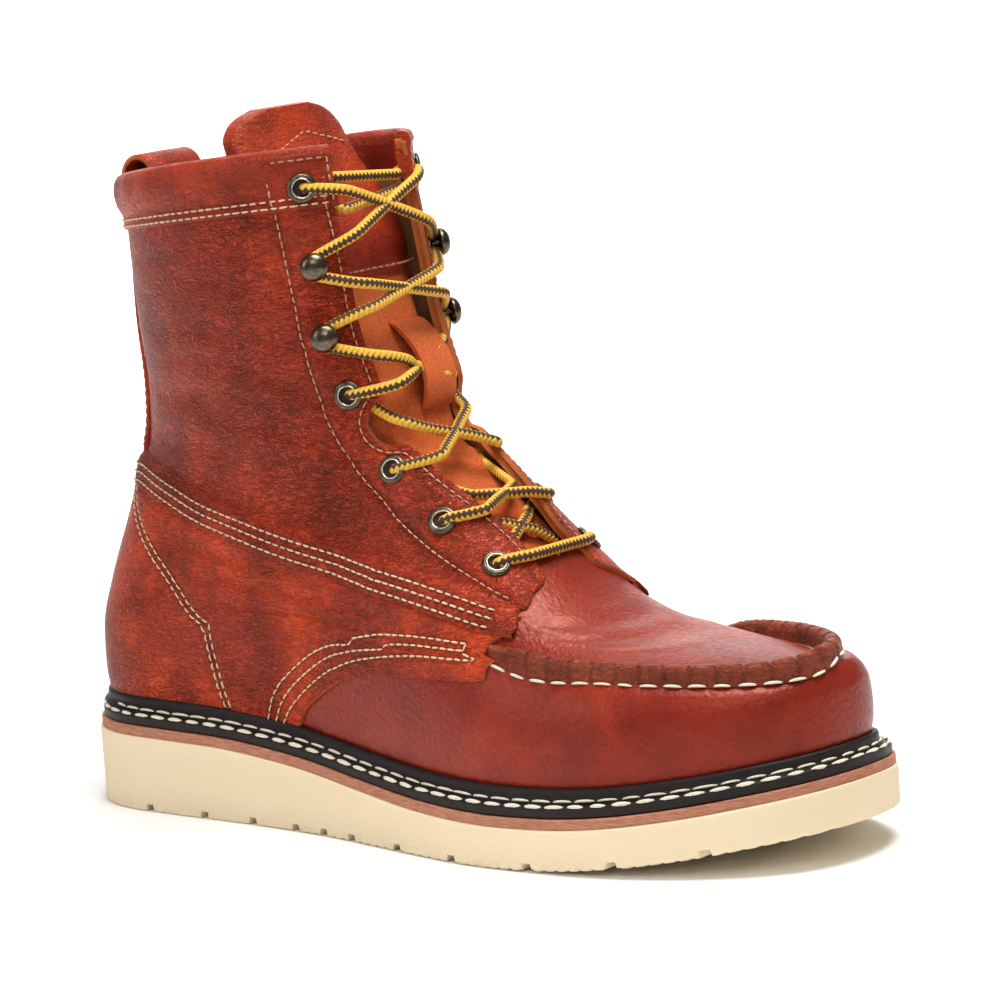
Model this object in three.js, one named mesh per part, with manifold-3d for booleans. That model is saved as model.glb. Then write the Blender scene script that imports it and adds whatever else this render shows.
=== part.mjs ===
// Moc toe work boot for the right foot, in millimetres.
// +X points to the toe, +Y to the inner side and +Z up, and the origin is on the floor under the heel.
import * as THREE from "three";
import { mergeVertices } from "three/addons/utils/BufferGeometryUtils.js";
import Module from "manifold-3d";

const wasm = await Module();
wasm.setup();

// Sizes of the sole
const LENGTH = 308;
const BALL_WIDTH = 108;
const HEEL_WIDTH = 79;
const TOE_SHIFT = 10; // the toe's tip lies this far to the inner side
const HEEL_ROUND = 40; // length of the round heel end
const TOE_ROUND = 82; // length of the round toe end
const ROUND_POWER = 2.35; // 2 is an ellipse, more is squarer
const WEDGE_HEEL = 25.5;
const WEDGE_BALL = 13;
const TOE_SPRING = 12.5;
const MIDSOLE = 3;
const MIDSOLE_INSET = 0.6; // how far the midsole stands in from the outsole's side
const WELT = 3.4;
const WELT_INSET = 1.4; // and the welt
const WELT_LIP = 2; // thickness of the lip that stands against the upper
const WELT_LIP_RISE = 4;
const WELT_REACH = 7; // how far the welt stands out past the upper
const WELT_SEAT = 5; // how far the welt reaches in under the upper's wall
const INSOLE = 3;
const GROOVE_WIDTH = 2.8;
const GROOVE_DEPTH = 2.2;
const ORIGIN_ALONG = 0.115; // the origin's place, as a share of the length

// Sizes of the upper
const COLLAR_HEIGHT = 216; // rim at the back, over the floor
const COLLAR_RISE = 5; // the rim is this much higher at the front
const TOE_HEIGHT = 62; // top of the toe over the floor
const INSTEP_HEIGHT = 150; // where the vamp's line meets the shaft
const SHAFT_DEPTH = 111;
const SHAFT_WIDTH = 77;
const SHAFT_SHIFT = 0.5; // the shaft's middle lies this far to the inner side
const SOFTEN = 17.3; // how softly foot and shaft run into each other
const WIDEST_UP = 0.21; // share of the toe's height, over the welt, where the foot is widest
const TUCK = 0.05; // share of its width that the foot loses from there down to the welt
const SHAFT_FROM = 0.28; // share of the collar's height in which the middle line goes over to the shaft's
const WALL = 2.4;
const OVERLAY = 1.4; // thickness of the quarters, counter, facings and backstay
const GAP = 0.3; // between pieces that touch
const PANEL_GAP = 0.8; // between neighbouring panels

// Sizes of the trim
const BAND_THICK = 3;
const BAND_HEIGHT = 17;
const ROLL_RISE = 2.4; // how far the band's roll stands over the rim
const BACKSTAY_WIDTH = 20;
const RIDGE_HEIGHT = 5.2;
const RIDGE_THICK = 4.4;
const RIDGE_REACH = 100; // length of the moc seam's half ellipse
const RIDGE_HALF = 43.5; // half its width
const RIDGE_TIP = 12; // from its tip back to the outsole's tip
const LOOP_WIDTH = 24;
const LOOP_THICK = 2;
const LOOP_RISE = 8; // the pull loop's height over the rim
const LOOP_REACH = 16; // and its depth, outside to inside
const LOOP_TAIL = 10.2; // how far its ends hang below the rim, outside and inside
const LOOP_TAIL_INSIDE = 6.2;
const THROAT_REACH = 25; // how far the throat's cut goes in and out from the facings' edges
const THROAT_FLAT = 15; // half the width over which tongue and lace run straight across
const TONGUE_THICK = 3;
const TONGUE_HALF = 31;
const TONGUE_CLEAR = 2; // between the tongue and the upper's inner face
const TONGUE_TIP = 10; // the tongue's tip over the last section line
const TONGUE_WIDEN = 0.25; // how much wider the tongue's inner lines lie, as a share of their depth
const TONGUE_LEAN = 32; // how far its tip leans back from the facings
const EYELET_RADIUS = 4.8;
const EYELET_BORE = 2.5;
const EYELET_WALL = 0.5;
const EYELET_CROWN = 1.1;
const HOOK_RADIUS = 4.5;
const HOOK_HEIGHT = 6.5;
const LACE_WIDTH = 4.4;
const LACE_CLEAR = 0.3; // between a lace and what it crosses
const THROAT_CLEAR = 0.3; // between the end of a strand and the throat's edge
const LACE_DIVE = 1.5; // how far below the leather's outer face a strand goes under a facing
const LACE_DROP = 0.35; // share of its way over which a strand stays level
const ROWS_UNDER = 0.55; // section lines from an eyelet down to the strand that goes in to it
const ROWS_AROUND = 0.45; // and from a hook's middle up or down to a strand beside it
const LOWEST_CROSS = [14.35, 14.85]; // section lines between which the lowest crossing lies
const LOWEST_NEARER = 0.6; // how much nearer the throat's edge its ends lie

// How finely the curved forms are cut up
const HALF_RING = 14; // steps from the back seam to the front
const STATIONS = 18; // steps along the sole
const ROUND_STEPS = 8; // sides of eyelets, hooks and their holes, and steps of the pull loop's arch
const BAND_STEPS = 22; // steps along the collar band
const BAND_BUNCH = 1.6; // over 1 the steps lie closer together at the back
const RIDGE_STEPS = 26; // steps along the moc seam
const TONGUE_STEPS = 8; // steps across the tongue
const LACE_SIDES = 6;
const LACE_STEPS = 5;
const STRAND_POINTS = 6;
const HALVINGS = 40; // of a range that is searched

// Sections. The band's is a share of its thickness outwards, and of its height down from the rim or of
// its roll's rise up. The seam's is a share of its thickness across and of its height. The hook's is a
// share of its radius and of its height.
const BAND_SECTION = [[0.8, -1], [1, -0.7], [1, -0.3], [0.6, 0.5], [0, 1]];
const BAND_INSIDE = 0.5; // how far the band's edge stands in past the lining
const RIDGE_SECTION = [[-0.5, 0], [-0.5, 0.7], [-0.3, 1], [0.2, 1.02], [0.5, 0.75], [0.55, 0]];
const RIDGE_ENDS = 0.9; // steps by which the seam stops short of the half ellipse's ends
const HOOK_SECTION = [
  [0, 0], [0.8, 0], [0.7, 0.154], [0.378, 0.215], [0.378, 0.55], [1, 0.62], [0.8, 0.9], [0, 1],
];

// A table's first column is the argument, and each other column becomes a smooth function of it.
function table(names, rows) {
  const xs = rows.map((row) => row[0]);
  const made = {};
  names.slice(1).forEach((name, c) => {
    const ys = rows.map((row) => row[c + 1]);
    const slopes = xs.slice(1).map((x, i) => (ys[i + 1] - ys[i]) / (x - xs[i]));
    const tangents = ys.map((_, i) => {
      const a = slopes[Math.max(i - 1, 0)];
      const b = slopes[Math.min(i, slopes.length - 1)];
      return a * b <= 0 ? 0 : (2 * a * b) / (a + b);
    });
    made[name] = (x) => {
      const at = Math.min(Math.max(x, xs[0]), xs[xs.length - 1]);
      let i = 0;
      while (i < slopes.length - 1 && at > xs[i + 1]) i += 1;
      const h = xs[i + 1] - xs[i];
      const t = (at - xs[i]) / h;
      const u = 1 - t;
      return (
        (1 + 2 * t) * u * u * ys[i] +
        t * u * u * h * tangents[i] +
        t * t * (3 - 2 * t) * ys[i + 1] -
        t * t * u * h * tangents[i + 1]
      );
    };
  });
  return made;
}

// Plan of the sole: half its width is heel x half the heel's width + ball x half the ball's width,
// and centre is a share of the toe's shift.
const PLAN = table(["along", "centre", "heel", "ball"], [
  [0.0, 0.1, 1.0, 0.0],
  [0.13, 0.0, 1.0, 0.0],
  [0.25, -0.15, 0.9, 0.045],
  [0.38, -0.35, 0.5, 0.33],
  [0.5, -0.3, 0.2, 0.66],
  [0.6, -0.1, 0.0, 0.935],
  [0.68, 0.1, 0.0, 0.99],
  [0.76, 0.35, 0.0, 1.0],
  [0.86, 0.65, 0.0, 0.972],
  [0.94, 0.85, 0.0, 0.944],
  [1.0, 1.0, 0.0, 0.935],
]);

// Side of the sole: spring is a share of the toe spring, wedge a share of the wedge's extra height.
const SIDE = table(["along", "spring", "wedge"], [
  [0.0, 0.0, 1.0],
  [0.1, 0.0, 1.0],
  [0.22, 0.0, 0.96],
  [0.34, 0.0, 0.744],
  [0.46, 0.0, 0.368],
  [0.56, 0.0, 0.128],
  [0.64, 0.0, 0.048],
  [0.72, 0.05, 0.016],
  [0.8, 0.21, 0.0],
  [0.88, 0.48, 0.0],
  [0.94, 0.74, 0.0],
  [1.0, 1.0, 0.0],
]);

// Cross grooves of the tread, as shares of the length.
const GROOVES = [0.136, 0.219, 0.291, 0.357, 0.401, 0.447, 0.523, 0.609, 0.711, 0.81, 0.902];

// Back of the foot: in is a share of the length, up a share of the collar's height.
const HEEL = table(["up", "in"], [
  [0.14, 0.017],
  [0.21, 0.0118],
  [0.27, 0.0135],
  [0.347, 0.029],
  [0.44, 0.055],
  [0.532, 0.081],
  [0.6, 0.094],
  [0.69, 0.107],
]);

// Front of the toe: up is a share of the toe's height, in a share of the length.
const TOE = table(["up", "in"], [
  [0.48, 0.026],
  [0.68, 0.0195],
  [0.84, 0.021],
  [0.97, 0.029],
  [1.1, 0.042],
  [1.23, 0.062],
]);

// Line of the instep: rise is a share of the height from toe to instep, square the section's power.
const INSTEP = table(["along", "rise", "square"], [
  [0.0, 0.57, 2.2],
  [0.1, 0.615, 2.2],
  [0.195, 0.727, 2.1],
  [0.292, 0.886, 2.0],
  [0.422, 1.0, 2.05],
  [0.487, 0.818, 2.1],
  [0.552, 0.614, 2.1],
  [0.617, 0.392, 2.15],
  [0.682, 0.193, 2.3],
  [0.73, 0.108, 2.6],
  [0.78, 0.06, 3.0],
  [0.828, 0.0375, 3.2],
  [0.877, 0.025, 3.3],
  [0.925, 0.014, 3.3],
  [0.98, 0.0, 3.3],
]);

// Shaft: back is a share of the length, depth of the shaft's depth, half of half its width.
const SHAFT = table(["up", "back", "depth", "half", "square"], [
  [0.185, 0.026, 1.01, 0.727, 2.0],
  [0.347, 0.042, 1.145, 0.753, 1.9],
  [0.44, 0.063, 1.194, 0.78, 1.9],
  [0.556, 0.0795, 1.176, 0.792, 1.85],
  [0.648, 0.08, 1.129, 0.818, 1.85],
  [0.764, 0.074, 1.065, 0.896, 1.85],
  [0.88, 0.069, 1.03, 0.96, 1.9],
  [0.995, 0.0656, 0.998, 1.0, 1.95],
  [1.09, 0.065, 0.991, 1.013, 2.0],
]);
const SHAFT_WIDEST = 0.56; // share of the depth where the shaft is widest
const SHAFT_FRONT_POWER = 2.3;

// Section lines across the upper in the side view, from the back seam to the front.
// back is a share of the collar's height, front a share of the length, toe a share of the toe's height
// and above a share of the height from the toe's top to the collar.
const LINES = table(["row", "back", "front", "toe", "above"], [
  [0, 0.074, 0.974, 0.19, 0.0],
  [1, 0.125, 0.974, 0.42, 0.0],
  [2, 0.157, 0.977, 0.55, 0.0],
  [3, 0.19, 0.98, 0.68, 0.0],
  [4, 0.222, 0.979, 0.806, 0.0],
  [5, 0.25, 0.97, 0.895, 0.0],
  [6, 0.275, 0.955, 0.96, 0.0],
  [7, 0.296, 0.929, 1.0, 0.0],
  [8, 0.315, 0.89, 1.0, 0.0117],
  [9, 0.333, 0.844, 1.0, 0.019],
  [10, 0.356, 0.795, 1.0, 0.029],
  [11, 0.38, 0.747, 1.0, 0.049],
  [12, 0.407, 0.701, 1.0, 0.0877],
  [13, 0.44, 0.662, 1.0, 0.14],
  [14, 0.477, 0.627, 1.0, 0.201],
  [15, 0.5185, 0.588, 1.0, 0.279],
  [16, 0.565, 0.549, 1.0, 0.364],
  [17, 0.616, 0.516, 1.0, 0.4545],
  [18, 0.671, 0.49, 1.0, 0.5455],
  [19, 0.7315, 0.471, 1.0, 0.636],
  [20, 0.7917, 0.458, 1.0, 0.727],
  [21, 0.852, 0.445, 1.0, 0.812],
  [22, 0.9074, 0.435, 1.0, 0.893],
  [23, 0.958, 0.4286, 1.0, 0.9675],
  [24, 1.0046, 0.425, 1.0, 1.039],
  [25, 1.0555, 0.424, 1.0, 1.11],
]);

// Panel lines in the side view: a section line's number, and the share of it from back to front.
const FACING_EDGE = [
  [25, 0.972], [23.8, 0.972], [22.8, 0.96], [21.1, 0.959], [19.1, 0.949], [18, 0.946],
  [17.3, 0.893], [16.95, 0.872], [16.6, 0.876], [16.55, 0.93], [15.9, 0.953],
  [15.1, 0.98], [14.4, 0.99], [13.9, 0.992],
];
const FACING_BACK = [
  [25, 0.828], [22.2, 0.822], [20.2, 0.814], [18.7, 0.796], [17.5, 0.78], [16.3, 0.762],
  [15.85, 0.757], [14.8, 0.803], [13.9, 0.858], [13.1, 0.908], [12.4, 0.937],
];
const QUARTER_TOP = [
  [15.3, 0.035], [14.85, 0.187], [14.5, 0.275], [14.2, 0.382], [13.85, 0.484], [13.55, 0.571],
  [13.3, 0.654], [13, 0.777], [12.55, 0.867], [12.05, 0.909],
];
const FACING_TOE = [[13.25, 0.992], [12.7, 0.975]];
const QUARTER_FRONT = [[12, 0.933], [11.3, 0.881], [10.9, 0.853], [9.8, 0.794], [7.4, 0.665]];
const WING = [
  [5.6, 0.66], [5.4, 0.64], [5.3, 0.58], [5.1, 0.5], [4.7, 0.454], [3.6, 0.399],
  [2.5, 0.362], [1.5, 0.352], [0, 0.35],
];
const COUNTER = [
  [14.5, 0.03], [13.4, 0.081], [12.65, 0.13], [11.2, 0.185], [8.7, 0.213], [5.5, 0.22],
  [3.3, 0.232], [2, 0.241], [0, 0.25],
];

// Places of the eyelets and hooks, from the collar down, in the same terms.
const HARDWARE = [
  { kind: "eyelet", number: 1, row: 22.95, share: 0.91 },
  { kind: "hook", number: 2, row: 20.85, share: 0.898 },
  { kind: "hook", number: 3, row: 19.15, share: 0.88 },
  { kind: "eyelet", number: 4, row: 17.8, share: 0.872 },
  { kind: "eyelet", number: 5, row: 16, share: 0.862 },
  { kind: "eyelet", number: 6, row: 14.8, share: 0.915 },
  { kind: "eyelet", number: 7, row: 13.65, share: 0.958 },
];

const LAST_HOOK = 3; // down to this number the lace stays outside the facings

// Line of the tongue: the section line it follows, its half width and how far it leans back.
const TONGUE = table(["row", "half", "lean"], [
  [11.5, 0.62, 0.0],
  [13, 0.68, 0.0],
  [15, 0.7, 0.0],
  [18, 0.74, 0.03],
  [20, 0.85, 0.15],
  [22, 0.98, 0.42],
  [23.5, 1.0, 0.7],
  [25, 0.95, 0.92],
  [25.5, 0.83, 0.97],
  [25.8, 0.66, 0.99],
  [26, 0.42, 1.0],
]);

const TONGUE_ROWS = [11.5, 13, 14.5, 16, 17.5, 19, 20.5, 22, 23.5, 25, 25.5, 25.8, 26];

const share = (low, high, t) => low + (high - low) * t;
const clamp = (v, low, high) => Math.min(Math.max(v, low), high);
const signedPower = (v, p) => Math.sign(v) * Math.abs(v) ** p;

// Manifold solids from three.js geometry, and back.
function solid(geometry) {
  const bare = new THREE.BufferGeometry();
  bare.setAttribute("position", geometry.getAttribute("position"));
  if (geometry.index) bare.setIndex(geometry.index);
  const merged = mergeVertices(bare, 1e-4);
  return new wasm.Manifold(
    new wasm.Mesh({
      numProp: 3,
      vertProperties: merged.attributes.position.array,
      triVerts: new Uint32Array(merged.index.array),
    }),
  );
}

function geometryOf(made) {
  const mesh = made.getMesh();
  const geometry = new THREE.BufferGeometry();
  geometry.setAttribute("position", new THREE.BufferAttribute(mesh.vertProperties, 3));
  geometry.setIndex(new THREE.BufferAttribute(mesh.triVerts, 1));
  const flat = geometry.toNonIndexed();
  flat.computeVertexNormals();
  return flat;
}

// A closed solid from loops of points, all with as many points, capped at both ends.
function loft(loops) {
  const n = loops[0].length;
  const points = loops.flat();
  const faces = [];
  for (let k = 0; k < loops.length - 1; k += 1) {
    for (let i = 0; i < n; i += 1) {
      const j = (i + 1) % n;
      const [a, b, c, d] = [k * n + i, k * n + j, (k + 1) * n + j, (k + 1) * n + i];
      faces.push(a, b, c, a, c, d);
    }
  }
  const cap = (loop, first, turned) => {
    const middle = new THREE.Vector3();
    loop.forEach((p) => middle.addScaledVector(p, 1 / n));
    points.push(middle);
    for (let i = 0; i < n; i += 1) {
      const pair = [first + i, first + ((i + 1) % n)];
      if (turned) pair.reverse();
      faces.push(points.length - 1, ...pair);
    }
  };
  cap(loops[0], 0, true);
  cap(loops[loops.length - 1], (loops.length - 1) * n, false);
  const geometry = new THREE.BufferGeometry().setFromPoints(points);
  geometry.setIndex(faces);
  const made = solid(geometry);
  if (made.volume() > 0) return made;
  for (let i = 0; i < faces.length; i += 3) [faces[i + 1], faces[i + 2]] = [faces[i + 2], faces[i + 1]];
  geometry.setIndex(faces);
  return solid(geometry);
}

// A prism over an outline in plan, and one across the boot over an outline in the side view.
const REACH = 2 * LENGTH;
function planPrism(outline, low = -REACH, high = REACH) {
  const shape = new THREE.Shape(outline.map(([x, y]) => new THREE.Vector2(x, y)));
  const geometry = new THREE.ExtrudeGeometry(shape, { depth: high - low, bevelEnabled: false });
  return solid(geometry.translate(0, 0, low));
}
function sidePrism(outline, low = -REACH, high = REACH) {
  const shape = new THREE.Shape(outline.map(([x, z]) => new THREE.Vector2(x, z)));
  const geometry = new THREE.ExtrudeGeometry(shape, { depth: high - low, bevelEnabled: false });
  return solid(geometry.rotateX(Math.PI / 2).translate(0, high, 0));
}

// The sole's outline and heights
const soleCentre = (x) => TOE_SHIFT * PLAN.centre(x / LENGTH);
const soleHalf = (x) =>
  (HEEL_WIDTH / 2) * PLAN.heel(x / LENGTH) + (BALL_WIDTH / 2) * PLAN.ball(x / LENGTH);
const treadZ = (x) => TOE_SPRING * SIDE.spring(x / LENGTH);
const wedgeZ = (x) => treadZ(x) + share(WEDGE_BALL, WEDGE_HEEL, SIDE.wedge(x / LENGTH));
const midsoleZ = (x) => wedgeZ(x) + GAP + MIDSOLE;
const weltZ = (x) => midsoleZ(x) + GAP + WELT;

function soleOutline(inset) {
  const sides = [[], []];
  for (let i = 0; i <= STATIONS; i += 1) {
    const x = share(inset, LENGTH - inset, (1 - Math.cos((Math.PI * i) / STATIONS)) / 2);
    const heel = clamp((inset + HEEL_ROUND - x) / HEEL_ROUND, 0, 1);
    const toe = clamp((x - LENGTH + inset + TOE_ROUND) / TOE_ROUND, 0, 1);
    const round = ((1 - heel ** ROUND_POWER) * (1 - toe ** ROUND_POWER)) ** (1 / ROUND_POWER);
    const half = (soleHalf(x) - inset) * round;
    sides[0].push([x, soleCentre(x) - half]);
    if (i > 0 && i < STATIONS) sides[1].unshift([x, soleCentre(x) + half]);
  }
  return [...sides[0], ...sides[1]];
}

// The side view between two heights that change along the boot.
function layer(low, high) {
  const outline = [];
  for (let i = 0; i <= STATIONS; i += 1) outline.push([(LENGTH * i) / STATIONS, 0]);
  const xs = [-LENGTH / 10, ...outline.map(([x]) => x), LENGTH * 1.1];
  return sidePrism([...xs.map((x) => [x, low(x)]), ...xs.reverse().map((x) => [x, high(x)])]);
}

// The upper: half its width, squared, at a point of the side view. It is below zero outside.
function widthSquared(x, z) {
  const up = z / COLLAR_HEIGHT;
  const heelX = LENGTH * HEEL.in(up);
  const toeX = LENGTH * (1 - TOE.in(z / TOE_HEIGHT));
  const heel = Math.max((heelX + HEEL_ROUND - WELT_REACH / 2 - x) / (HEEL_ROUND - WELT_REACH / 2), 0);
  const toe = Math.max((x - toeX + TOE_ROUND - WELT_REACH) / (TOE_ROUND - WELT_REACH), 0);
  const heelRound = signedPower(1 - heel ** ROUND_POWER, 2 / ROUND_POWER);
  const toeRound = signedPower(1 - toe ** ROUND_POWER, 2 / ROUND_POWER);

  const base = weltZ(x);
  const widest = base + WIDEST_UP * TOE_HEIGHT;
  const top = share(TOE_HEIGHT, INSTEP_HEIGHT, INSTEP.rise(x / LENGTH));
  const square = INSTEP.square(x / LENGTH);
  const height = Math.max((z - widest) / (top - widest), 0);
  const section = signedPower(1 - height ** square, 2 / square);
  const tuck = 1 - TUCK * clamp((widest - z) / (widest - base), 0, 1.3) ** 2;
  const half = (soleHalf(x) - WELT_REACH) * tuck;
  const worst = Math.min(heelRound, toeRound, section);
  const foot = half * half * (worst < 0 ? worst : heelRound * toeRound * section);

  const back = LENGTH * SHAFT.back(up);
  const depth = SHAFT_DEPTH * SHAFT.depth(up);
  const along = (x - back) / depth - SHAFT_WIDEST;
  const behind = along < 0;
  const off = Math.abs(along) / (behind ? SHAFT_WIDEST : 1 - SHAFT_WIDEST);
  const power = behind ? SHAFT.square(up) : SHAFT_FRONT_POWER;
  const shaftHalf = (SHAFT_WIDTH / 2) * SHAFT.half(up);
  const shaft = shaftHalf * shaftHalf * signedPower(1 - off ** power, 2 / power);

  const soft = SOFTEN * SOFTEN;
  const joined = (foot + shaft + Math.hypot(foot - shaft, soft)) / 2;
  return joined - (soft / 2) * clamp(Math.min(foot, shaft) / (2 * soft), 0, 1);
}

function middle(x, z) {
  const t = clamp((z - TOE_HEIGHT) / (SHAFT_FROM * COLLAR_HEIGHT), 0, 1);
  return share(soleCentre(x), SHAFT_SHIFT, t * t * (3 - 2 * t));
}

// The two ends of a section line, where the upper's width comes to nothing.
function lineEnds(row) {
  const collarAbove = COLLAR_HEIGHT - TOE_HEIGHT;
  const back = new THREE.Vector2(0, COLLAR_HEIGHT * LINES.back(row));
  const front = new THREE.Vector2(
    LENGTH * LINES.front(row),
    TOE_HEIGHT * LINES.toe(row) + collarAbove * LINES.above(row),
  );
  const inside = back.clone().lerp(front, 0.55);
  return [back, front].map((target) => {
    const step = target.clone().sub(inside).normalize();
    let near = 0;
    while (widthSquared(inside.x + step.x * (near + 1), inside.y + step.y * (near + 1)) > 0) near += 1;
    let far = near + 1;
    for (let i = 0; i < HALVINGS; i += 1) {
      const half = (near + far) / 2;
      const p = inside.clone().addScaledVector(step, half);
      if (widthSquared(p.x, p.y) > 0) near = half;
      else far = half;
    }
    return inside.clone().addScaledVector(step, near);
  });
}

const lineCache = new Map();
function sidePoint([row, t]) {
  const key = row.toFixed(3);
  if (!lineCache.has(key)) lineCache.set(key, lineEnds(row));
  const [back, front] = lineCache.get(key);
  return back.clone().lerp(front, t).toArray();
}

const TOP_ROW = 25;
const STEEPEST = 0.5; // least share of a normal in the side view

// A ring of the upper on one section line: the back seam, the outer side, the front, the inner side.
const FINE = 300;
const BEND_WEIGHT = 40; // a turn of one radian counts as this much length
function ring(row) {
  const fine = [];
  for (let i = 0; i <= FINE; i += 1) {
    const [x, z] = sidePoint([row, (1 - Math.cos((Math.PI * i) / FINE)) / 2]);
    const end = i === 0 || i === FINE;
    fine.push(new THREE.Vector3(x, end ? 0 : Math.sqrt(Math.max(widthSquared(x, z), 0)), z));
  }
  const measure = [0];
  let before = null;
  for (let i = 1; i <= FINE; i += 1) {
    const step = fine[i].clone().sub(fine[i - 1]);
    const turn = before && step.length() > 1e-6 ? before.angleTo(step) : 0;
    measure.push(measure[i - 1] + step.length() + BEND_WEIGHT * turn);
    before = step;
  }
  const sides = [[], []];
  let i = 0;
  for (let k = 0; k <= HALF_RING; k += 1) {
    const wanted = (measure[FINE] * k) / HALF_RING;
    while (i < FINE - 1 && measure[i + 1] < wanted) i += 1;
    const t = clamp((wanted - measure[i]) / (measure[i + 1] - measure[i]), 0, 1);
    const p = fine[i].clone().lerp(fine[i + 1], t);
    const centre = middle(p.x, p.z);
    sides[0].push(new THREE.Vector3(p.x, centre - p.y, p.z));
    if (k > 0 && k < HALF_RING) sides[1].unshift(new THREE.Vector3(p.x, centre + p.y, p.z));
  }
  return [...sides[0], ...sides[1]];
}

const RING_ROWS = [
  0, 1.3, 2.6, 3.9, 5.1, 6, 6.8, 7.8, 9.2, 10.6, 12, 13.2, 14.3, 15.3, 16.2, 17.2, 19, 21, 23, 25,
];
const RINGS = RING_ROWS.map(ring);
const RING_NORMALS = (() => {
  const n = RINGS[0].length;
  const geometry = new THREE.BufferGeometry().setFromPoints(RINGS.flat());
  const faces = [];
  for (let k = 0; k < RINGS.length - 1; k += 1) {
    for (let i = 0; i < n; i += 1) {
      const j = (i + 1) % n;
      faces.push(k * n + i, k * n + j, (k + 1) * n + j, k * n + i, (k + 1) * n + j, (k + 1) * n + i);
    }
  }
  geometry.setIndex(faces);
  geometry.computeVertexNormals();
  const normals = geometry.getAttribute("normal");
  return RINGS.map((loop, k) =>
    loop.map((_, i) => new THREE.Vector3().fromBufferAttribute(normals, k * n + i)),
  );
})();

// The whole form, as a closed solid, this far outside the upper's outer face.
function form(offset) {
  return loft(
    RINGS.map((loop, k) => loop.map((p, i) => p.clone().addScaledVector(RING_NORMALS[k][i], offset))),
  );
}
const shell = (inner, outer) => form(outer).subtract(form(inner));

// The place on the outer face at a side-view point, on the outer side (-1) or the inner side (+1).
function onFace(place, side) {
  const [x, z] = sidePoint(place);
  const half = Math.sqrt(Math.max(widthSquared(x, z), 0));
  const e = 0.5;
  const slopeX = (widthSquared(x + e, z) - widthSquared(x - e, z)) / (2 * e);
  const slopeZ = (widthSquared(x, z + e) - widthSquared(x, z - e)) / (2 * e);
  const normal = new THREE.Vector3(-slopeX, 2 * half * side, -slopeZ).normalize();
  return { point: new THREE.Vector3(x, middle(x, z) + half * side, z), normal };
}

// The share of a section line, in front of its widest place, where half the width is as given.
function shareAtHalf(row, half) {
  let near = 1;
  let far = 0.6;
  for (let i = 0; i < HALVINGS; i += 1) {
    const t = (near + far) / 2;
    const [x, z] = sidePoint([row, t]);
    if (widthSquared(x, z) < half * half) near = t;
    else far = t;
  }
  return (near + far) / 2;
}

// The rim rises from its back to its front.
const RIM_BACK = 0.1 * LENGTH;
const RIM_FRONT = 0.4 * LENGTH;
const collarZ = (x) => COLLAR_HEIGHT + COLLAR_RISE * clamp((x - RIM_BACK) / (RIM_FRONT - RIM_BACK), 0, 1);

// The throat: what lies in front, between the edges of the two facings.
const throatCut = loft(
  FACING_EDGE.map((place) => {
    const [x, z] = sidePoint(place);
    const half = Math.sqrt(widthSquared(x, z));
    const centre = middle(x, z);
    const forward = new THREE.Vector2(...sidePoint([place[0], 1]))
      .sub(new THREE.Vector2(...sidePoint([place[0], 0])))
      .setLength(THROAT_REACH);
    return [[-1, -1], [1, -1], [1, 1], [-1, 1]].map(
      ([along, side]) =>
        new THREE.Vector3(x + along * forward.x, centre + side * half, z + along * forward.y),
    );
  }),
);
const upperBand = layer((x) => weltZ(x) + GAP, collarZ);
const overlayBand = layer((x) => weltZ(x) + 2 * GAP + WELT_LIP_RISE, collarZ);

// A piece of sheet leather over the upper, inside an outline in the side view.
function overlay(outline) {
  return shell(GAP, GAP + OVERLAY).intersect(sidePrism(outline)).intersect(overlayBand);
}
const sideHalf = (side) =>
  planPrism([[-REACH, 0], [REACH, 0], [REACH, side * REACH], [-REACH, side * REACH]]);

function turned(geometry, point, direction) {
  const turn = new THREE.Quaternion().setFromUnitVectors(new THREE.Vector3(0, 0, 1), direction);
  return geometry.applyQuaternion(turn).translate(point.x, point.y, point.z);
}
function lathe(profile) {
  const points = profile.map(([r, z]) => new THREE.Vector2(r, z));
  return new THREE.LatheGeometry(points, ROUND_STEPS).rotateX(Math.PI / 2);
}

// Eyelets and hooks stand on the facings, over the highest place under their rims.
const FACING_TOP = GAP + OVERLAY;
const facingFace = new THREE.Mesh(geometryOf(form(FACING_TOP)));
const SEAT_RAY = 4 * EYELET_RADIUS; // from this far out the facing's face is sought
function seatRise(point, normal, radius) {
  const across = new THREE.Vector3(0, 0, 1).cross(normal).normalize();
  let rise = FACING_TOP;
  for (let i = 0; i <= ROUND_STEPS; i += 1) {
    const out = i === ROUND_STEPS ? 0 : radius;
    const start = across.clone().applyAxisAngle(normal, (2 * Math.PI * i) / ROUND_STEPS);
    start.multiplyScalar(out).add(point).addScaledVector(normal, SEAT_RAY);
    const ray = new THREE.Raycaster(start, normal.clone().negate());
    const [hit] = ray.intersectObject(facingFace);
    if (hit) rise = Math.max(rise, SEAT_RAY - hit.distance);
  }
  return rise + GAP;
}
function hardware(side) {
  return HARDWARE.map((piece) => {
    const { point, normal } = onFace([piece.row, piece.share], side);
    const rise = seatRise(point, normal, piece.kind === "hook" ? HOOK_RADIUS : EYELET_RADIUS);
    return { ...piece, point, normal, rise, seat: point.clone().addScaledVector(normal, rise) };
  });
}
function eyelet({ seat, normal, rise }) {
  const outer = EYELET_BORE + EYELET_WALL;
  const depth = -(rise + WALL);
  return solid(
    turned(
      lathe([
        [EYELET_BORE, depth],
        [outer, depth],
        [outer, 0],
        [EYELET_RADIUS, 0],
        [EYELET_RADIUS - EYELET_CROWN / 2, EYELET_CROWN],
        [EYELET_BORE, EYELET_CROWN],
        [EYELET_BORE, depth],
      ]),
      seat,
      normal,
    ),
  );
}
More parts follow.
